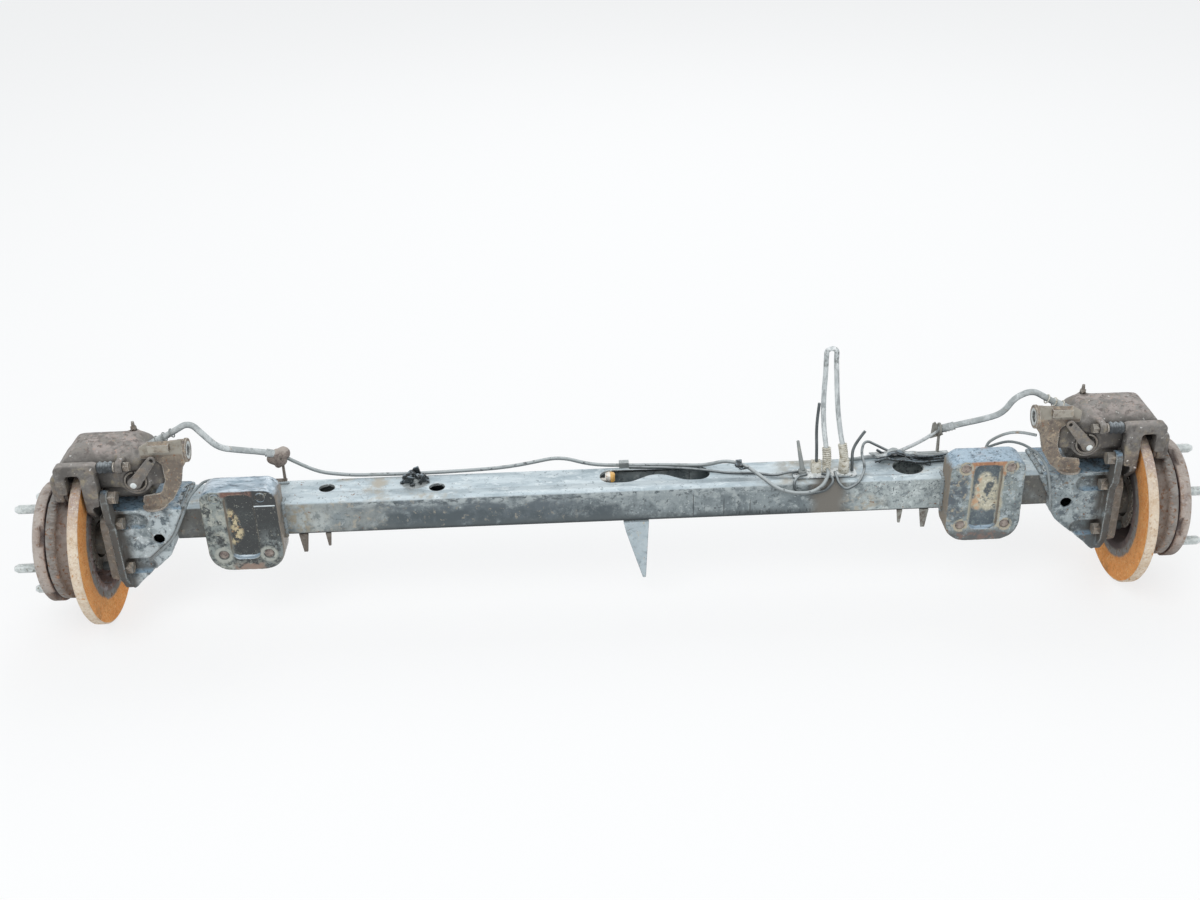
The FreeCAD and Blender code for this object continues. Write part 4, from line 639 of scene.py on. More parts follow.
def rusted_hub_iron():
    """Forged hub flange, turned and then rusted to a dull grey-brown."""
    f = Finish("rusted_hub_iron", "#A69B93", 0.8, round_mm=1.5)
    f.mottle(None, (40, 0.45, 0.12, "#B6ACA3"), (16, 0.3, 0.08, "#8C8079", 0.85),
             (8, 0.25, 0.06, "#917A69", 0.9), (4, 0.25, 0.08, "#BDB4AC"))
    below = f.rising(AXLE_Z - 0.02, AXLE_Z - 0.085)
    f.mottle(below, (30, 0.7, 0.12, "#6F655F", 0.85))
    # Dirt and painted shade in the corners
    f.mottle(f.corners(20), (60, 0.9, 0.12, "#4A3B3A", 0.9))
    f.lay(f.edges(2), "#BBB3AB", 0.6)
    return f.done(2.5, 0.15)


def dull_steel():
    """Plain steel bolts and pins, dull grey-brown with dirt."""
    f = Finish("dull_steel", "#8A867F", 0.55, 0.5, round_mm=0.6)
    f.mottle(None, (14, 0.5, 0.1, "#7A7066", 0.85, 0, 0.1), (6, 0.25, 0.06, "#A89C8B", 0.8, 0, 0.1))
    f.lay(f.edges(1), "#C2BEB6", 0.4, metal=0.7)
    return f.done(3, 0.08)


def zinc_plate():
    """Zinc plated studs with a white bloom."""
    f = Finish("zinc_plate", "#CDD3D2", 0.4, 0.7, round_mm=0.4)
    f.mottle(None, (5, 0.45, 0.08, "#E1E5E3", 0.7, 0, 0.1), (6, 0.15, 0.04, "#9A998E", 0.6, 0, 0.2))
    return f.done(2, 0.03)


def dusty_rubber():
    """Moulded black rubber under a film of pale road dust."""
    f = Finish("dusty_rubber", settings().rubber, 0.8, round_mm=0.4)
    f.mottle(None, (26, 0.45, 0.1, "#CED2D1"))
    f.lay(f.facing("Z", -0.1, -0.8), "#70757A", 0.7)
    f.mottle(None, (9, 0.2, 0.06, "#969B9B", 0.75), (14, 0.1, 0.04, "#A59482", 0.85))
    return f.done(2, 0.05)


def milky_hose():
    """Rubber hose in a clear sleeve gone milky, mottled grey where the sleeve lies on the hose."""
    f = Finish("milky_hose", "#BCC1C1", 0.45, round_mm=0.4)
    f.mottle(None, (22, 0.45, 0.1, "#D3D7D6"))
    f.mottle(None, (8, 0.32, 0.06, "#9DA2A2", 0.5), stretch=(1.0, 1.0, 3.0))
    f.mottle(None, (5, 0.16, 0.05, "#8B8F8D", 0.5), stretch=(1.0, 1.0, 2.0))
    # Painted shadow inside the hairpin's bend
    bend_shadow = f.above_axis(0.262, 0.292, 0.004)
    f.mottle(bend_shadow, (6, 0.4, 0.05, "#7F8381", 0.5))
    f.mottle(f.above_axis(0.292, 0.34, 0.004), (6, 0.5, 0.05, "#F2F3F2", 0.4))
    return f.done(3, 0.1)


def pale_bracket():
    """Bracket plate under white zinc bloom, dirty at its edge."""
    f = Finish("pale_bracket", "#8E979A", 0.6, round_mm=0.8)
    f.mottle(f.facing("Z", 0.3, 0.8), (16, 0.75, 0.1, "#E4E7E6", 0.7))
    f.mottle(f.facing("Y", -0.5, -0.9), (14, 0.5, 0.08, "#E0E3E2", 0.7))
    f.mottle(None, (7, 0.3, 0.05, "#7A7D7A", 0.7), (5, 0.12, 0.04, "#5C5A54", 0.8))
    return f.done(3, 0.08)


def brown_steel():
    """Small steel pieces rusted through their paint to a dull grey-brown."""
    f = Finish("brown_steel", "#6A625A", 0.85, round_mm=0.6)
    f.mottle(None, (12, 0.45, 0.07, "#7D766E", 0.85), (6, 0.3, 0.05, "#524A43", 0.9),
             (3, 0.12, 0.04, "#A9A59D", 0.8))
    f.mottle(f.between(f.axis("X"), 0.3, 0.32), (9, 0.6, 0.08, "#8E8D86", 0.8))
    return f.done(2, 0.15)


def clamp_plastic():
    """Grey plastic pipe clamp with a painted highlight on its top."""
    f = Finish("clamp_plastic", "#767B7B", 0.6, round_mm=0.4)
    # Painted highlight on the upward faces
    f.lay(f.facing("Z", 0.3, 0.9), "#A9AEAD", 0.6)
    f.mottle(None, (6, 0.35, 0.07, "#929796", 0.6), (4, 0.15, 0.05, "#4D5152", 0.6))
    return f.done(2, 0.05)


def black_shards():
    """Broken glossy black plastic and tape, with painted white highlights in small specks."""
    f = Finish("black_shards", "#1E2223", 0.3, round_mm=0.3)
    f.mottle(None, (7, 0.4, 0.07, "#3A4144", 0.4))
    # Painted reflection of the sky on the upward faces
    f.mottle(f.facing("Z", 0.3, 0.9), (6, 0.5, 0.07, "#76838B", 0.4))
    # Painted white highlights in small specks
    f.mottle(None, (3, 0.1, 0.03, "#D5DADB", 0.5))
    return f.done(2, 0.2)


def bare_rubber():
    """Black bellows rubber that the road dust has hardly touched."""
    f = Finish("bare_rubber", "#33373A", 0.6, round_mm=0.4)
    # Painted highlight on the upward faces of the folds
    f.lay(f.facing("Z", 0.4, 0.95), "#8E9497", 0.6)
    f.mottle(None, (6, 0.3, 0.06, "#54595C", 0.7))
    return f.done(2, 0.05)


def coated_pipe():
    """Steel brake pipe in a grey plastic coat, with a painted highlight along its top."""
    f = Finish("coated_pipe", "#777C7C", 0.5, round_mm=0.3)
    # Painted highlight on the upper half
    f.lay(f.facing("Z", 0.0, 0.9), "#B4BABA", 0.6)
    f.mottle(None, (25, 0.3, 0.08, "#949998", 0.7), (12, 0.16, 0.05, "#44494B", 0.5))
    f.lay(f.between(f.axis("X"), 0.40, 0.43), "#C6CACA", 0.6)
    f.mottle(f.between(f.axis("X"), 0.40, 0.43), (8, 0.3, 0.06, "#9DA1A1", 0.6))
    return f.done(3, 0.03)


def corroded_fittings():
    """Zinc-nickel pipe fittings gone beige and white with corrosion."""
    f = Finish("corroded_fittings", "#C7C3B6", 0.75, 0.1, round_mm=0.5)
    f.mottle(None, (9, 0.4, 0.08, "#DEDBD0"), (6, 0.28, 0.06, "#A19883", 0.85),
             (8, 0.12, 0.04, "#7C7568", 0.85))
    f.mottle(f.between(f.axis("X"), 0.320, 0.317), (12, 0.85, 0.1, "#8F9391", 0.7))
    return f.done(3, 0.2)


def black_plastic():
    """Moulded black plastic and sheath with dust in its low places."""
    f = Finish("black_plastic", "#474D4F", 0.5, round_mm=0.4)
    f.mottle(None, (14, 0.4, 0.1, "#5D6365", 0.7))
    f.mottle(f.facing("Z", 0.2, 0.9), (20, 0.7, 0.12, "#A4AAAB", 0.7))
    f.mottle(f.between(f.reach(), 0.60, 0.62), (20, 0.8, 0.1, "#8E9596", 0.7))
    return f.done(3, 0.05)


def brake_lining():
    """Pressed friction lining, dark grey with brass flecks."""
    f = Finish("brake_lining", "#4B4846", 0.9, round_mm=0.5)
    f.mottle(None, (3, 0.25, 0.06, "#665F56"), (12, 0.3, 0.08, "#76675A"))
    return f.done(1.5, 0.1)


def amber_plastic():
    """Translucent amber plug with one side gone white."""
    f = Finish("amber_plastic", "#E2B05E", 0.4, round_mm=0.5, coat=0.3)
    f.lay(f.between(f.axis("X"), -0.0035, -0.0065), "#F1EDE4", 0.6)
    f.mottle(None, (3, 0.25, 0.06, "#C98D3F"))
    return f.done(3, 0.1)


def dead_clip():
    """Spring steel clip caked in brown dirt and rust."""
    f = Finish("dead_clip", "#857972", 0.85, round_mm=0.6)
    f.mottle(None, (9, 0.4, 0.07, "#A0948A"), (5, 0.3, 0.05, "#5E5350"))
    f.lay(f.facing("Z", 0.3, 0.9), "#AFA59C")
    return f.done(3, 0.3)


def weld_skin():
    """Weld bead under the same paint, dusty on top and paler there as a painted highlight."""
    f = Finish("weld_skin", "#868E90", 0.7, round_mm=0.5)
    # Dust and painted highlight on the upward faces
    f.lay(f.facing("Z", 0.2, 0.9), "#AAB5B9")
    f.mottle(None, (9, 0.35, 0.07, "#79746B", 0.85), (6, 0.2, 0.05, "#6B5749", 0.9))
    return f.done(2, 0.15)


# Finish of each slot
FINISHES = {
    "beam_paint": chalked_chassis_paint,
    "seat_paint_left": gloss_seat_paint,
    "seat_paint_right": mottled_seat_paint,
    "knuckle_paint": mottled_knuckle_paint,
    "bracket_paint": bracket_paint,
    "plain_steel": dull_steel,
    "coated_pipe": coated_pipe,
    "fittings": corroded_fittings,
    "zinc_steel": zinc_plate,
    "cast_iron": weathered_cast_iron,
    "bracket_steel": rusted_bracket_steel,
    "hub_iron": rusted_hub_iron,
    "disc_iron": rusted_disc,
    "rubber": dusty_rubber,
    "bellows": bare_rubber,
    "lining": brake_lining,
    "black_plastic": black_plastic,
    "amber": amber_plastic,
    "clip": dead_clip,
    "weld": weld_skin,
    "milky": milky_hose,
    "plate": pale_bracket,
    "brown": brown_steel,
    "clamp": clamp_plastic,
    "shards": black_shards,
}
# Materials made so far, by slot
made_finishes = {}


def finish(name):
    """Material of a slot, made once."""
    if name not in made_finishes:
        made_finishes[name] = FINISHES[name]()
    return made_finishes[name]


# Building pieces
def at(x, y, height):
    """Point from millimetres; height is above the hub axis."""
    return Vector((x * MM, y * MM, AXLE_Z + height * MM))


def in_mm(point):
    """Millimetres of a point, with its height above the hub axis."""
    return point.x / MM, point.y / MM, (point.z - AXLE_Z) / MM


def route(*points):
    """Path through points in millimetres."""
    return [at(*point) for point in points]


def joint(name):
    """Place and direction of one of the part's joints."""
    found = next(one for one in frame["record"]["behaviour"]["joints"] if one["name"] == name)
    return Vector(found["pos_m"]), Vector(found["axis"]).normalized()


def body_of(node):
    """Moving body that a node belongs to."""
    return nodes[node]["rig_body"]


def place(name, mesh, body, slot, *replaced):
    """Puts a finished mesh in the scene as a piece that rides on a body."""
    piece = shown(name, mesh)
    mesh.materials.clear()
    mesh.materials.append(finish(slot))
    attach(piece, body)
    if replaced:
        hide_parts(*replaced)
    return piece


def shown(name, data):
    """New object in the scene."""
    made = bpy.data.objects.new(name, data)
    bpy.context.scene.collection.objects.link(made)
    return made


def evaluated(source):
    """Plain mesh of an object with its modifiers, which is then removed."""
    mesh = bpy.data.meshes.new_from_object(source.evaluated_get(bpy.context.evaluated_depsgraph_get()))
    bpy.data.objects.remove(source)
    return mesh


def merged_copy(node):
    """A node's mesh with its loose triangles joined up."""
    mesh = nodes[node].data.copy()
    work = bmesh.new()
    work.from_mesh(mesh)
    bmesh.ops.remove_doubles(work, verts=work.verts, dist=1e-5)
    work.to_mesh(mesh)
    work.free()
    return mesh


def faces_of(mesh, chosen, keep):
    """Copy of a mesh with only its chosen faces, or without them."""
    work = bmesh.new()
    work.from_mesh(mesh)
    dropped = [face for face in work.faces if (face.index in chosen) != keep]
    bmesh.ops.delete(work, geom=dropped, context="FACES")
    part = bpy.data.meshes.new("faces")
    work.to_mesh(part)
    work.free()
    return part


def smoothed(mesh, crease_deg=32):
    """The mesh shaded round, except along sharper edges than that."""
    mesh.polygons.foreach_set("use_smooth", [True] * len(mesh.polygons))
    mesh.set_sharp_from_angle(angle=math.radians(crease_deg))
    return mesh


def dressed(node, slot, crease_deg=32):
    """Copy of a turned, bent or drawn node with its round faces shaded round."""
    return place(node + "_dressed", smoothed(merged_copy(node), crease_deg), body_of(node), slot, node)


def melted(source, steps, group=""):
    """Adds a modifier that rounds the edges off, of the whole object or of a group of its vertices."""
    smooth = source.modifiers.new("Melt", "SMOOTH")
    smooth.factor = 0.5
    smooth.iterations = steps
    smooth.vertex_group = group


def skinned(mesh, voxel, melt, rough_mm, above=None):
    """The shape with its joins and edges melted, and an uneven skin; above a height it melts more."""
    source = shown("source", mesh)
    remesh = source.modifiers.new("Remesh", "REMESH")
    remesh.mode = "VOXEL"
    remesh.voxel_size = voxel
    if above is not None:
        mesh = evaluated(source)
        source = shown("source", mesh)
        crown = source.vertex_groups.new(name="crown")
        crown.add([vertex.index for vertex in mesh.vertices if vertex.co.z > above], 1.0, "REPLACE")
        melted(source, 4 * melt, "crown")
    melted(source, melt)
    skin = evaluated(source)
    moved = []
    for vertex in skin.vertices:
        lump = noise.noise(vertex.co * SWELLS_PER_M) + 0.5 * noise.noise(vertex.co * PITS_PER_M)
        moved.extend(vertex.co + vertex.normal * (lump - SKIN_SUNK) * rough_mm * MM)
    skin.vertices.foreach_set("co", moved)
    skin.polygons.foreach_set("use_smooth", [True] * len(skin.polygons))
    return skin


def casting(node, slot, melt, rough_mm=0.25, grain=1.0, above=None):
    """Skin of a casting or of a weldment, made from the node's shape."""
    skin = skinned(merged_copy(node), settings().voxel * grain, melt, rough_mm, above)
    return place(node + "_skin", skin, body_of(node), slot, node)


def clump(name, slot, balls, rough_mm=0.8, melt=3):
    """Lump of dirt or plastic on the beam, melted together from balls."""
    work = bmesh.new()
    for x, y, height, radius in balls:
        bmesh.ops.create_icosphere(work, subdivisions=2, radius=radius * MM,
                                   matrix=Matrix.Translation(at(x, y, height)))
    mesh = bpy.data.meshes.new(name)
    work.to_mesh(mesh)
    work.free()
    return place(name, skinned(mesh, settings().voxel * CLUMP_GRAIN, melt, rough_mm), "beam", slot)


def disc(name, body, slot, centre, axis, radius, thickness, dome):
    """Short round piece with a rounded rim, such as a cap or a filled hole; its middle rises by the dome."""
    steps = 32
    rim = min(thickness * 0.35, radius * 0.2)
    profile = ((radius, 0.0), (radius, thickness - rim), (radius - rim, thickness))
    turns = [math.tau * i / steps for i in range(steps)]
    points = [(out * math.cos(turn), out * math.sin(turn), up) for out, up in profile for turn in turns]
    foot = len(points)
    points += [(0.0, 0.0, 0.0), (0.0, 0.0, thickness + dome)]
    pairs = [(i, (i + 1) % steps) for i in range(steps)]
    last = foot - steps
    faces = [(row + i, row + j, row + steps + j, row + steps + i)
             for row in range(0, last, steps) for i, j in pairs]
    faces += [(j, i, foot) for i, j in pairs]
    faces += [(last + i, last + j, foot + 1) for i, j in pairs]
    turn = Vector((0, 0, 1)).rotation_difference(axis).to_matrix().to_4x4()
    mesh = bpy.data.meshes.new(name)
    mesh.from_pydata([Matrix.Translation(centre) @ turn @ Vector(point) for point in points], [], faces)
    return place(name, smoothed(mesh), body, slot)


def plate(name, slot, outline, thickness):
    """Flat plate on the beam from its outline and its thickness vector, with its edges broken."""
    count = len(outline)
    mesh = bpy.data.meshes.new(name)
    faces = [tuple(range(count))[::-1], tuple(range(count, 2 * count))]
    faces += [(i, (i + 1) % count, count + (i + 1) % count, count + i) for i in range(count)]
    mesh.from_pydata(list(outline) + [point + thickness for point in outline], [], faces)
    work = bmesh.new()
    work.from_mesh(mesh)
    bmesh.ops.recalc_face_normals(work, faces=work.faces)
    bmesh.ops.bevel(work, geom=work.edges, offset=PLATE_EDGE, segments=1, affect="EDGES")
    work.to_mesh(mesh)
    work.free()
    return place(name, mesh, "beam", slot)


def line(*paths):
    """Curve through each list of points; straight where a list has only two."""
    curve = bpy.data.curves.new("path", "CURVE")
    curve.dimensions = "3D"
    for points in paths:
        spline = curve.splines.new("NURBS" if len(points) > 2 else "POLY")
        spline.points.add(len(points) - 1)
        for point, spot in zip(spline.points, points):
            point.co = (*spot, 1.0)
        if spline.type == "NURBS":
            spline.order_u = 3
            spline.use_endpoint_u = True
            spline.resolution_u = 12
    return curve


# Geometry Nodes
def new_group(name, *inputs):
    """A tree with a geometry input, named values and a finish; also the outputs of its input node by name."""
    group = bpy.data.node_groups.new(name, "GeometryNodeTree")
    group.interface.new_socket("Geometry", in_out="INPUT", socket_type="NodeSocketGeometry")
    for label, kind, value in inputs:
        socket = group.interface.new_socket(label, in_out="INPUT", socket_type="NodeSocket" + kind)
        socket.default_value = value
    group.interface.new_socket("Finish", in_out="INPUT", socket_type="NodeSocketMaterial")
    group.interface.new_socket("Geometry", in_out="OUTPUT", socket_type="NodeSocketGeometry")
    return group, add(group, "NodeGroupInput").outputs


def close_group(group, given, geometry):
    """Ends a tree with real geometry and its finish."""
    real = add(group, "GeometryNodeRealizeInstances", {"Geometry": geometry.outputs[0]})
    shaded = add(group, "GeometryNodeSetMaterial", {"Geometry": real.outputs[0], "Material": given["Finish"]})
    add(group, "NodeGroupOutput", {0: shaded.outputs[0]})
    return group


def weld_bead():
    """Overlapping weld ripples along a path."""
    group, given = new_group("weld_bead", ("Bead", "Float", 0.007), ("Step", "Float", 0.003),
                             ("Seed", "Int", 7))
    path = add(group, "GeometryNodeResampleCurve", {"Curve": given["Geometry"], "Length": given["Step"]},
               mode="LENGTH")
    drop = add(group, "GeometryNodeMeshIcoSphere", {"Radius": 0.5, "Subdivisions": 2})
    tangent = add(group, "GeometryNodeInputTangent")
    along = add(group, "FunctionNodeAlignRotationToVector", {"Vector": tangent.outputs[0]}, axis="X")
    uneven = add(group, "FunctionNodeRandomValue", {2: 0.8, 3: 1.15, "Seed": given["Seed"]},
                 data_type="FLOAT")
    size = add(group, "ShaderNodeMath", {0: given["Bead"], 1: uneven.outputs[1]}, operation="MULTIPLY")
    beads = add(group, "GeometryNodeInstanceOnPoints",
                {"Points": path.outputs[0], "Instance": drop.outputs[0], "Rotation": along.outputs[0],
                 "Scale": size.outputs[0]})
    return close_group(group, given, beads)


def screw_thread():
    """Screw thread that rises from each point, turned from the upright."""
    group, given = new_group("screw_thread", ("Radius", "Float", 0.007), ("Pitch", "Float", 0.002),
                             ("Length", "Float", 0.028), ("Turn", "Rotation", (0.0, 0.0, 0.0)))
    turns = add(group, "ShaderNodeMath", {0: given["Length"], 1: given["Pitch"]}, operation="DIVIDE")
    helix = add(group, "GeometryNodeCurveSpiral",
                {"Resolution": 20, "Rotations": turns.outputs[0], "Start Radius": given["Radius"],
                 "End Radius": given["Radius"], "Height": given["Length"]})
    wire = add(group, "ShaderNodeMath", {0: given["Pitch"], 1: 0.36}, operation="MULTIPLY")
    ridge = add(group, "GeometryNodeCurvePrimitiveCircle", {"Resolution": 4, "Radius": wire.outputs[0]})
    thread = add(group, "GeometryNodeCurveToMesh",
                 {0: helix.outputs[0], 1: ridge.outputs[0], "Fill Caps": True})
    placed = add(group, "GeometryNodeInstanceOnPoints",
                 {"Points": given["Geometry"], "Instance": thread.outputs[0], "Rotation": given["Turn"]})
    return close_group(group, given, placed)


def row_of_rings():
    """Rings spaced evenly along a path, as on a crimped ferrule."""
    group, given = new_group("row_of_rings", ("Radius", "Float", 0.007), ("Wire", "Float", 0.001),
                             ("Count", "Int", 4))
    path = add(group, "GeometryNodeResampleCurve", {"Curve": given["Geometry"], "Count": given["Count"]},
               mode="COUNT")
    hoop = add(group, "GeometryNodeCurvePrimitiveCircle", {"Resolution": 24, "Radius": given["Radius"]})
    wire = add(group, "GeometryNodeCurvePrimitiveCircle", {"Resolution": 8, "Radius": given["Wire"]})
    ring = add(group, "GeometryNodeCurveToMesh", {0: hoop.outputs[0], 1: wire.outputs[0]})
    smooth = add(group, "GeometryNodeSetShadeSmooth", {0: ring.outputs[0]})
    tangent = add(group, "GeometryNodeInputTangent")
    along = add(group, "FunctionNodeAlignRotationToVector", {"Vector": tangent.outputs[0]}, axis="Z")
    rings = add(group, "GeometryNodeInstanceOnPoints",
                {"Points": path.outputs[0], "Instance": smooth.outputs[0], "Rotation": along.outputs[0]})
    return close_group(group, given, rings)


def round_line():
    """Round wire or cable along a path."""
    group, given = new_group("round_line", ("Radius", "Float", 0.0025))
    section = add(group, "GeometryNodeCurvePrimitiveCircle", {"Resolution": 14, "Radius": given["Radius"]})
    wire = add(group, "GeometryNodeCurveToMesh",
               {0: given["Geometry"], 1: section.outputs[0], "Fill Caps": True})
    return close_group(group, given, add(group, "GeometryNodeSetShadeSmooth", {0: wire.outputs[0]}))


def flat_strip():
    """Flat strip along a path, such as a tie, a tape or a torn sheath."""
    group, given = new_group("flat_strip", ("Width", "Float", 0.004), ("Thickness", "Float", 0.001))
    section = add(group, "GeometryNodeCurvePrimitiveQuadrilateral",
                  {"Width": given["Width"], "Height": given["Thickness"]})
    strip = add(group, "GeometryNodeCurveToMesh",
                {0: given["Geometry"], 1: section.outputs[0], "Fill Caps": True})
    return close_group(group, given, strip)


made_groups = {}


def grown(name, source, tree, body, slot, **values):
    """Runs a tree on a curve or on points and keeps the result as a piece."""
    if tree not in made_groups:
        made_groups[tree] = tree()
    carrier = shown(name + "_source", source)
    modifier = carrier.modifiers.new("Grow", "NODES")
    modifier.node_group = made_groups[tree]
    values["Finish"] = finish(slot)
    for socket in modifier.node_group.interface.items_tree:
        if socket.in_out == "INPUT" and socket.name in values:
            modifier[socket.identifier] = values[socket.name]
    return place(name, evaluated(carrier), body, slot)


# Steps
class AXLE_OT_paint(bpy.types.Operator):
    """Gives every node of the part its finish"""
    bl_idname = "axle.paint"
    bl_label = "Paint the parts"

    def execute(self, context):
        for part in frame["record"]["subparts"]:
            mesh = nodes[part["node"]].data
            mesh.materials.clear()
            mesh.materials.append(finish(part["material_slot"]))
        return {"FINISHED"}


class AXLE_OT_castings(bpy.types.Operator):
    """Skins of the cast brake parts, the pressed seats and the welded knuckles"""
    bl_idname = "axle.castings"
    bl_label = "Cast and pressed skins"

    def execute(self, context):
        for side in SIDES:
            casting("caliper_housing_" + side, "cast_iron", melt=8, above=AXLE_Z + CROWN_FROM)
            casting("caliper_carrier_" + side, "cast_iron", melt=5)
            casting("hand_brake_lever_" + side, "cast_iron", melt=3, grain=0.8)
            casting("knuckle_" + side, "knuckle_paint", melt=4, rough_mm=0.4)
            casting("spring_seat_" + side, "seat_paint_" + side, melt=4, rough_mm=0.5)
            casting("cable_bracket_" + side, "bracket_steel", melt=3, rough_mm=0.3, grain=0.8)
        return {"FINISHED"}


class AXLE_OT_turned(bpy.types.Operator):
    """Turned, drawn and bent pieces with round shading"""
    bl_idname = "axle.turned"
    bl_label = "Turned and bent parts"

    def execute(self, context):
        slots = {part["node"]: part["material_slot"] for part in frame["record"]["subparts"]}
        slots.update(hairpin_hose="milky", line_bracket="plate", beam_tabs="brown", hose_post_left="brown",
                     hose_post_right="brown")
        pairs = ("brake_disc", "wheel_hub", "wheel_studs", "grease_cap", "brake_hose", "hose_post",
                 "guide_pins", "return_spring", "bleed_screw", "speed_sensor", "stub_axle", "piston")
        singles = ("beam_tube", "beam_tabs", "gusset_bracket", "line_bracket", "line_fittings",
                   "hairpin_hose", "brake_pipes", "sensor_harness", "flange_bolts", "carrier_bolts")
        for node in [pair + "_" + side for pair in pairs for side in SIDES] + list(singles):
            dressed(node, slots[node])
        for side in SIDES:
            dressed("guide_boots_" + side, "bellows", crease_deg=60)
        source = merged_copy("clips_and_plugs")
        low, high = route(*LOOSE_PLUG)
        loose = {face.index for face in source.polygons
                 if all(low[i] < face.center[i] < high[i] for i in range(3))}
        clamps, plug = faces_of(source, loose, keep=False), faces_of(source, loose, keep=True)
        place("clamps_and_plugs", smoothed(clamps), "beam", "clamp", "clips_and_plugs")
        place("loose_plug", smoothed(plug), "beam", "amber")
        return {"FINISHED"}


class AXLE_OT_welds(bpy.types.Operator):
    """Weld beads of the seats, the knuckles, the gusset and the hose posts"""
    bl_idname = "axle.welds"
    bl_label = "Welds"

    def execute(self, context):
        post = middle("hose_post_right").x / MM
        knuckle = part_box("knuckle_right")[0].x / MM
        _, front, under = in_mm(BEAM_LOW)
        top = in_mm(BEAM_HIGH)[2]
        skin = top + 1
        gusset = route((14, -10, under), (55, -10, under))
        paths = [gusset]
        for way in SIDES.values():
            for flank in (-1.0, 1.0):
                x = way * (SEAT_X / MM + flank * (SEAT_HALF / MM + 1.0))
                paths.append(route((x, front - 1, under + 2), (x, front - 1, top - 8), (x, front + 1, top),
                                   (x, front + 9, skin), (x, SEAT_HIGH.y / MM, skin)))
            slant = route((way * knuckle, front - 2, top - 4), (way * (knuckle + 12), front - 2, top - 24),
                          (way * (knuckle + 27), front - 2, under + 3))
            over = route((way * knuckle, front + 4, skin), (way * knuckle, -front - 4, skin))
            foot = route((way * (post - 14), 25, skin), (way * (post + 12), 25, skin))
            paths += [slant, over, foot]
        bead = settings().bead
        grown("weld_beads", line(*paths), weld_bead, "beam", "weld", Bead=bead, Step=bead * RIPPLE,
              Seed=settings().seed)
        return {"FINISHED"}


class AXLE_OT_threads(bpy.types.Operator):
    """Threads of the wheel studs; the pitch is drawn coarser than the real 1.5 mm so that it shows"""
    bl_idname = "axle.threads"
    bl_label = "Stud threads"

    def execute(self, context):
        length = 0.029
        chamfer = 0.005
        for side, way in SIDES.items():
            _, outward = joint("hub_spin_" + side)
            outward *= math.copysign(1.0, outward.x * way)
            spots = [vertex.co for vertex in nodes["wheel_studs_" + side].data.vertices]
            tip = max(spot.dot(outward) for spot in spots)
            ends = []
            for spot in (spot for spot in spots if spot.dot(outward) > tip - 1e-4):
                near = next((end for end in ends if (end[0] - spot).length < STUD_APART), None)
                if near:
                    near.append(spot)
                else:
                    ends.append([spot])
            inwards = outward * (chamfer + length)
            roots = bpy.data.meshes.new("roots")
            roots.from_pydata([sum(end, Vector()) / len(end) - inwards for end in ends], [], [])
            turn = Vector((0, 0, 1)).rotation_difference(outward).to_euler()
            grown("stud_threads_" + side, roots, screw_thread, "hub_" + side, "zinc_steel", Radius=0.0068,
                  Pitch=0.002, Length=length, Turn=tuple(turn))
        return {"FINISHED"}


class AXLE_OT_crimps(bpy.types.Operator):
    """Spring rings of the pin boots and crimped rings of the hose ends"""
    bl_idname = "axle.crimps"
    bl_label = "Rings and crimps"

    def execute(self, context):
        for side, way in SIDES.items():
            boots = "guide_boots_" + side
            centre = middle(boots)
            aside = Vector((0.003, 0.0, 0.0))
            grown("boot_rings_" + side, line([centre - aside, centre + aside]), row_of_rings, body_of(boots),
                  "zinc_steel", Radius=span(boots).z / 2 + 0.0001, Wire=0.0012, Count=2)
            for name, start, end, radius_mm, count in HOSE_CRIMPS:
                path = route(*((way * x, y, height) for x, y, height in (start, end)))
                grown(name + "_" + side, line(path), row_of_rings, body_of("brake_hose_" + side),
                      "fittings", Radius=radius_mm * MM, Wire=0.0010, Count=count)
        ends = line(*(route(*leg) for leg in HAIRPIN_ENDS))
        grown("hairpin_crimps", ends, row_of_rings, "beam", "fittings", Radius=0.0058, Wire=0.0016, Count=9)
        return {"FINISHED"}


class AXLE_OT_clips(bpy.types.Operator):
    """Clips on the hose posts and the broken grommet beside the left hole"""
    bl_idname = "axle.clips"
    bl_label = "Clips and grommet"

    def execute(self, context):
        clump("post_clip_left", "clip", CAKED_CLIP, melt=16)
        plate("post_clip_right", "brown", route(*BARE_CLIP), Vector((0, 0.003, 0)))
        clump("torn_grommet", "shards", GROMMET, rough_mm=3.0)
        for number, outline in enumerate(SHARDS):
            plate("shard_%d" % number, "shards", route(*outline), Vector((0.001, 0.003, 0.001)))
        return {"FINISHED"}


class AXLE_OT_torn_bundle(bpy.types.Operator):
    """Torn sheath and bare wires right of the hairpin hose, and the loose cable at the right seat"""
    bl_idname = "axle.torn_bundle"
    bl_label = "Torn cable bundle"

    def execute(self, context):
        for number, strip in enumerate(TORN_SHEATH):
            slot = "shards" if number % 2 else "rubber"
            grown("torn_sheath_%d" % number, line(route(*strip)), flat_strip, "beam", slot, Width=0.0085,
                  Thickness=0.0024)
        grown("bare_wires", line(*(route(*wire) for wire in BARE_WIRES)), round_line, "beam", "shards",
              Radius=0.0022)
        grown("loose_cable", line(route(*LOOSE_CABLE)), round_line, "beam", "rubber", Radius=0.0024)
        return {"FINISHED"}


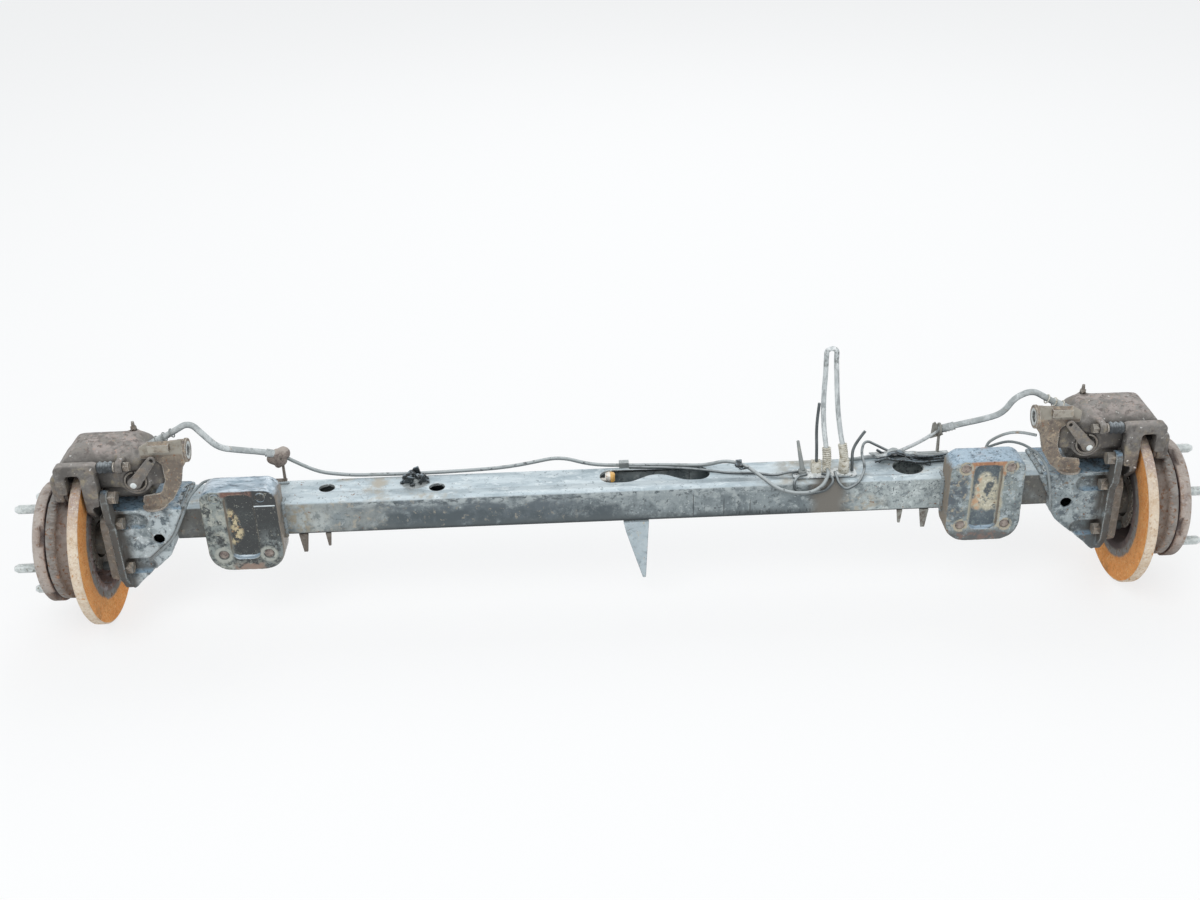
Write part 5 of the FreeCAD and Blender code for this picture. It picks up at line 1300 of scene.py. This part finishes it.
class AXLE_OT_pipe_tie(bpy.types.Operator):
    """Plastic tie round the brake pipe, with its head and its cut tail"""
    bl_idname = "axle.pipe_tie"
    bl_label = "Pipe tie"

    def execute(self, context):
        spots = [vertex.co for vertex in nodes["brake_pipes"].data.vertices]
        pipe = [spot for spot in spots if abs(spot.x - TIE_X) < 0.012]
        centre = sum(pipe, Vector()) / len(pipe)
        loop = 7.8
        turn = ((0, -loop, 0), (1, 0, loop), (0, loop, 0), (0, 0, -loop), (0, -loop - 0.5, 0))
        tail = ((6, -14, -4), (12, -18, 2))
        path = [centre + Vector(point) * MM for point in turn + tail]
        grown("pipe_tie", line(path), flat_strip, "beam", "shards", Width=0.009, Thickness=0.0024)
        x, y, height = in_mm(centre)
        head = ((x - 4, y - 8, height + 2, 4.2), (x + 3, y - 9, height + 1, 4.0))
        clump("tie_head", "shards", head, rough_mm=0.3)
        return {"FINISHED"}


class AXLE_OT_seat_dirt(bpy.types.Operator):
    """Dirt packed into the seats' holes, a dark fill that paints the shade in the left seat's upper holes,
    and the shafts' polished ends
    """
    bl_idname = "axle.seat_dirt"
    bl_label = "Packed dirt and shaft ends"

    def execute(self, context):
        forward = Vector((0, -1, 0))
        sunk = {"low": 4.0, "high": 1.7}
        domes = {"low": 1.0, "high": 0.0}
        for side, way in SIDES.items():
            for across in (-HOLE_ACROSS, HOLE_ACROSS):
                for row, height in HOLE_ROWS.items():
                    spot = at(way * SEAT_X / MM + across, SEAT_LOW.y / MM + sunk[row], height)
                    # The left seat's upper holes get a fill in its black paint, as painted shade where the
                    # holes look dark; the others are packed dirt
                    slot = "seat_paint_left" if (side, row) == ("left", "high") else "clip"
                    name = "packed_dirt_%s_%s_%d" % (side, row, across)
                    disc(name, "beam", slot, spot, forward, 7.4 * MM, 1.6 * MM, domes[row] * MM)
            lever = "hand_brake_lever_" + side
            origin, axis = joint("brake_lever_" + side)
            axis *= -math.copysign(1.0, axis.y)
            spot = origin + axis * ((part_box(lever)[0].y + 0.0004 - origin.y) / axis.y)
            disc("shaft_end_" + side, body_of(lever), "zinc_steel", spot, axis, 5.0 * MM, 1.0 * MM,
                 2.0 * MM)
        return {"FINISHED"}


class AXLE_OT_cut_cables(bpy.types.Operator):
    """The two cut cable stubs beside the hairpin hose"""
    bl_idname = "axle.cut_cables"
    bl_label = "Cut cables"

    def execute(self, context):
        top = in_mm(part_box("line_bracket")[1])[2]
        dark = ((329, -11, top + 18), (329, -8, 120), (328.5, 0, 146), (329, 1, 172), (331, 1, 197))
        bare = ((387, -15, top), (387, -11, 98), (388, -4, 113), (398, 0, 130), (408, 2, 143))
        for node, points, length in (("cable_stub_dark", dark, 0.101), ("cable_stub_bare", bare, 0.072)):
            curve = line(route(*points))
            curve.bevel_depth = 0.0025
            curve.bevel_resolution = 4
            curve.use_fill_caps = True
            curve.materials.append(finish("black_plastic"))
            stub = shown(node + "_cord", curve)
            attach(stub, "beam")
            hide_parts(node)
        return {"FINISHED"}


def seen_directly(tree):
    """1 for rays from the camera, and for those that mirror or pass on what it sees."""
    path = add(tree, "ShaderNodeLightPath").outputs
    first = add(tree, "ShaderNodeMath", {0: path["Is Camera Ray"], 1: path["Is Glossy Ray"]},
                operation="MAXIMUM")
    both = add(tree, "ShaderNodeMath", {0: first.outputs[0], 1: path["Is Transmission Ray"]},
               operation="MAXIMUM")
    return both.outputs[0]


def emptied(made):
    """Node tree of a new material or world, without its first nodes."""
    made.use_nodes = True
    made.node_tree.nodes.clear()
    return made.node_tree


class AXLE_OT_stage(bpy.types.Operator):
    """Pale floor, soft studio light and the camera of the photograph"""
    bl_idname = "axle.stage"
    bl_label = "Stage and camera"

    def execute(self, context):
        scene = context.scene
        floor = bpy.data.meshes.new("floor")
        far = 30.0
        corners = [(-far, -far, 0), (far, -far, 0), (far, far, 0), (-far, far, 0)]
        floor.from_pydata(corners, [], [(0, 1, 2, 3)])
        shown("floor", floor)
        floor.materials.append(bpy.data.materials.new("pale_floor"))
        tree = emptied(floor.materials[0])
        matt = add(tree, "ShaderNodeBsdfDiffuse", {"Color": rgba(settings().floor)})
        white = add(tree, "ShaderNodeEmission", {"Color": rgba("#FFFFFF"), "Strength": 1.0})
        mixed = add(tree, "ShaderNodeMixShader", {0: 0.72, 1: matt.outputs[0], 2: white.outputs[0]})
        both = add(tree, "ShaderNodeMixShader",
                   {0: seen_directly(tree), 1: matt.outputs[0], 2: mixed.outputs[0]})
        add(tree, "ShaderNodeOutputMaterial", {"Surface": both.outputs[0]})
        scene.world = bpy.data.worlds.new("studio")
        tree = emptied(scene.world)
        light = add(tree, "ShaderNodeBackground", {"Color": rgba("#EEF4FA"), "Strength": 0.62})
        backdrop = add(tree, "ShaderNodeBackground", {"Color": rgba("#FFFFFF"), "Strength": 1.0})
        both = add(tree, "ShaderNodeMixShader",
                   {0: seen_directly(tree), 1: light.outputs[0], 2: backdrop.outputs[0]})
        add(tree, "ShaderNodeOutputWorld", {"Surface": both.outputs[0]})
        for name, spot, size, power in LAMPS:
            lamp = bpy.data.lights.new(name, "AREA")
            lamp.size = size
            lamp.energy = power
            holder = shown(name, lamp)
            holder.location = spot
            aim = Vector((0.0, 0.0, AXLE_Z)) - Vector(spot)
            holder.rotation_euler = aim.to_track_quat("-Z", "Y").to_euler()
        camera = bpy.data.cameras.new("camera")
        camera.sensor_fit = "HORIZONTAL"
        camera.sensor_width = 36.0
        camera.lens = settings().lens
        camera.clip_start = 0.05
        scene.camera = shown("camera", camera)
        turn = Matrix((CAMERA_RIGHT, CAMERA_UP, CAMERA_BACK)).transposed()
        scene.camera.matrix_world = Matrix.Translation(CAMERA_AT) @ turn.to_4x4()
        scene.view_settings.view_transform = "Standard"
        return {"FINISHED"}


class AXLE_PT_panel(bpy.types.Panel):
    """Lists the sizes, the colours and the steps that dress the axle"""
    bl_label = "Rear axle beam"
    bl_idname = "AXLE_PT_panel"
    bl_space_type = "VIEW_3D"
    bl_region_type = "UI"
    bl_category = "Axle"

    def draw(self, context):
        for key in AxleSettings.__annotations__:
            self.layout.prop(settings(), key)
        for step in STEPS:
            self.layout.operator(step.bl_idname)


STEPS = (AXLE_OT_stage, AXLE_OT_paint, AXLE_OT_castings, AXLE_OT_turned, AXLE_OT_welds, AXLE_OT_threads,
         AXLE_OT_crimps, AXLE_OT_clips, AXLE_OT_torn_bundle, AXLE_OT_pipe_tie, AXLE_OT_seat_dirt,
         AXLE_OT_cut_cables)
CLASSES = (AxleSettings, AXLE_PT_panel) + STEPS


def register():
    for cls in CLASSES:
        bpy.utils.register_class(cls)
    bpy.types.Scene.axle = bpy.props.PointerProperty(type=AxleSettings)


def unregister():
    del bpy.types.Scene.axle
    for cls in reversed(CLASSES):
        bpy.utils.unregister_class(cls)


def main():
    register()
    bpy.ops.axle.stage()
    bpy.ops.axle.paint()
    bpy.ops.axle.castings()
    bpy.ops.axle.turned()
    bpy.ops.axle.welds()
    bpy.ops.axle.threads()
    bpy.ops.axle.crimps()
    bpy.ops.axle.clips()
    bpy.ops.axle.torn_bundle()
    bpy.ops.axle.pipe_tie()
    bpy.ops.axle.seat_dirt()
    bpy.ops.axle.cut_cables()


if __name__ == "__main__":
    main()
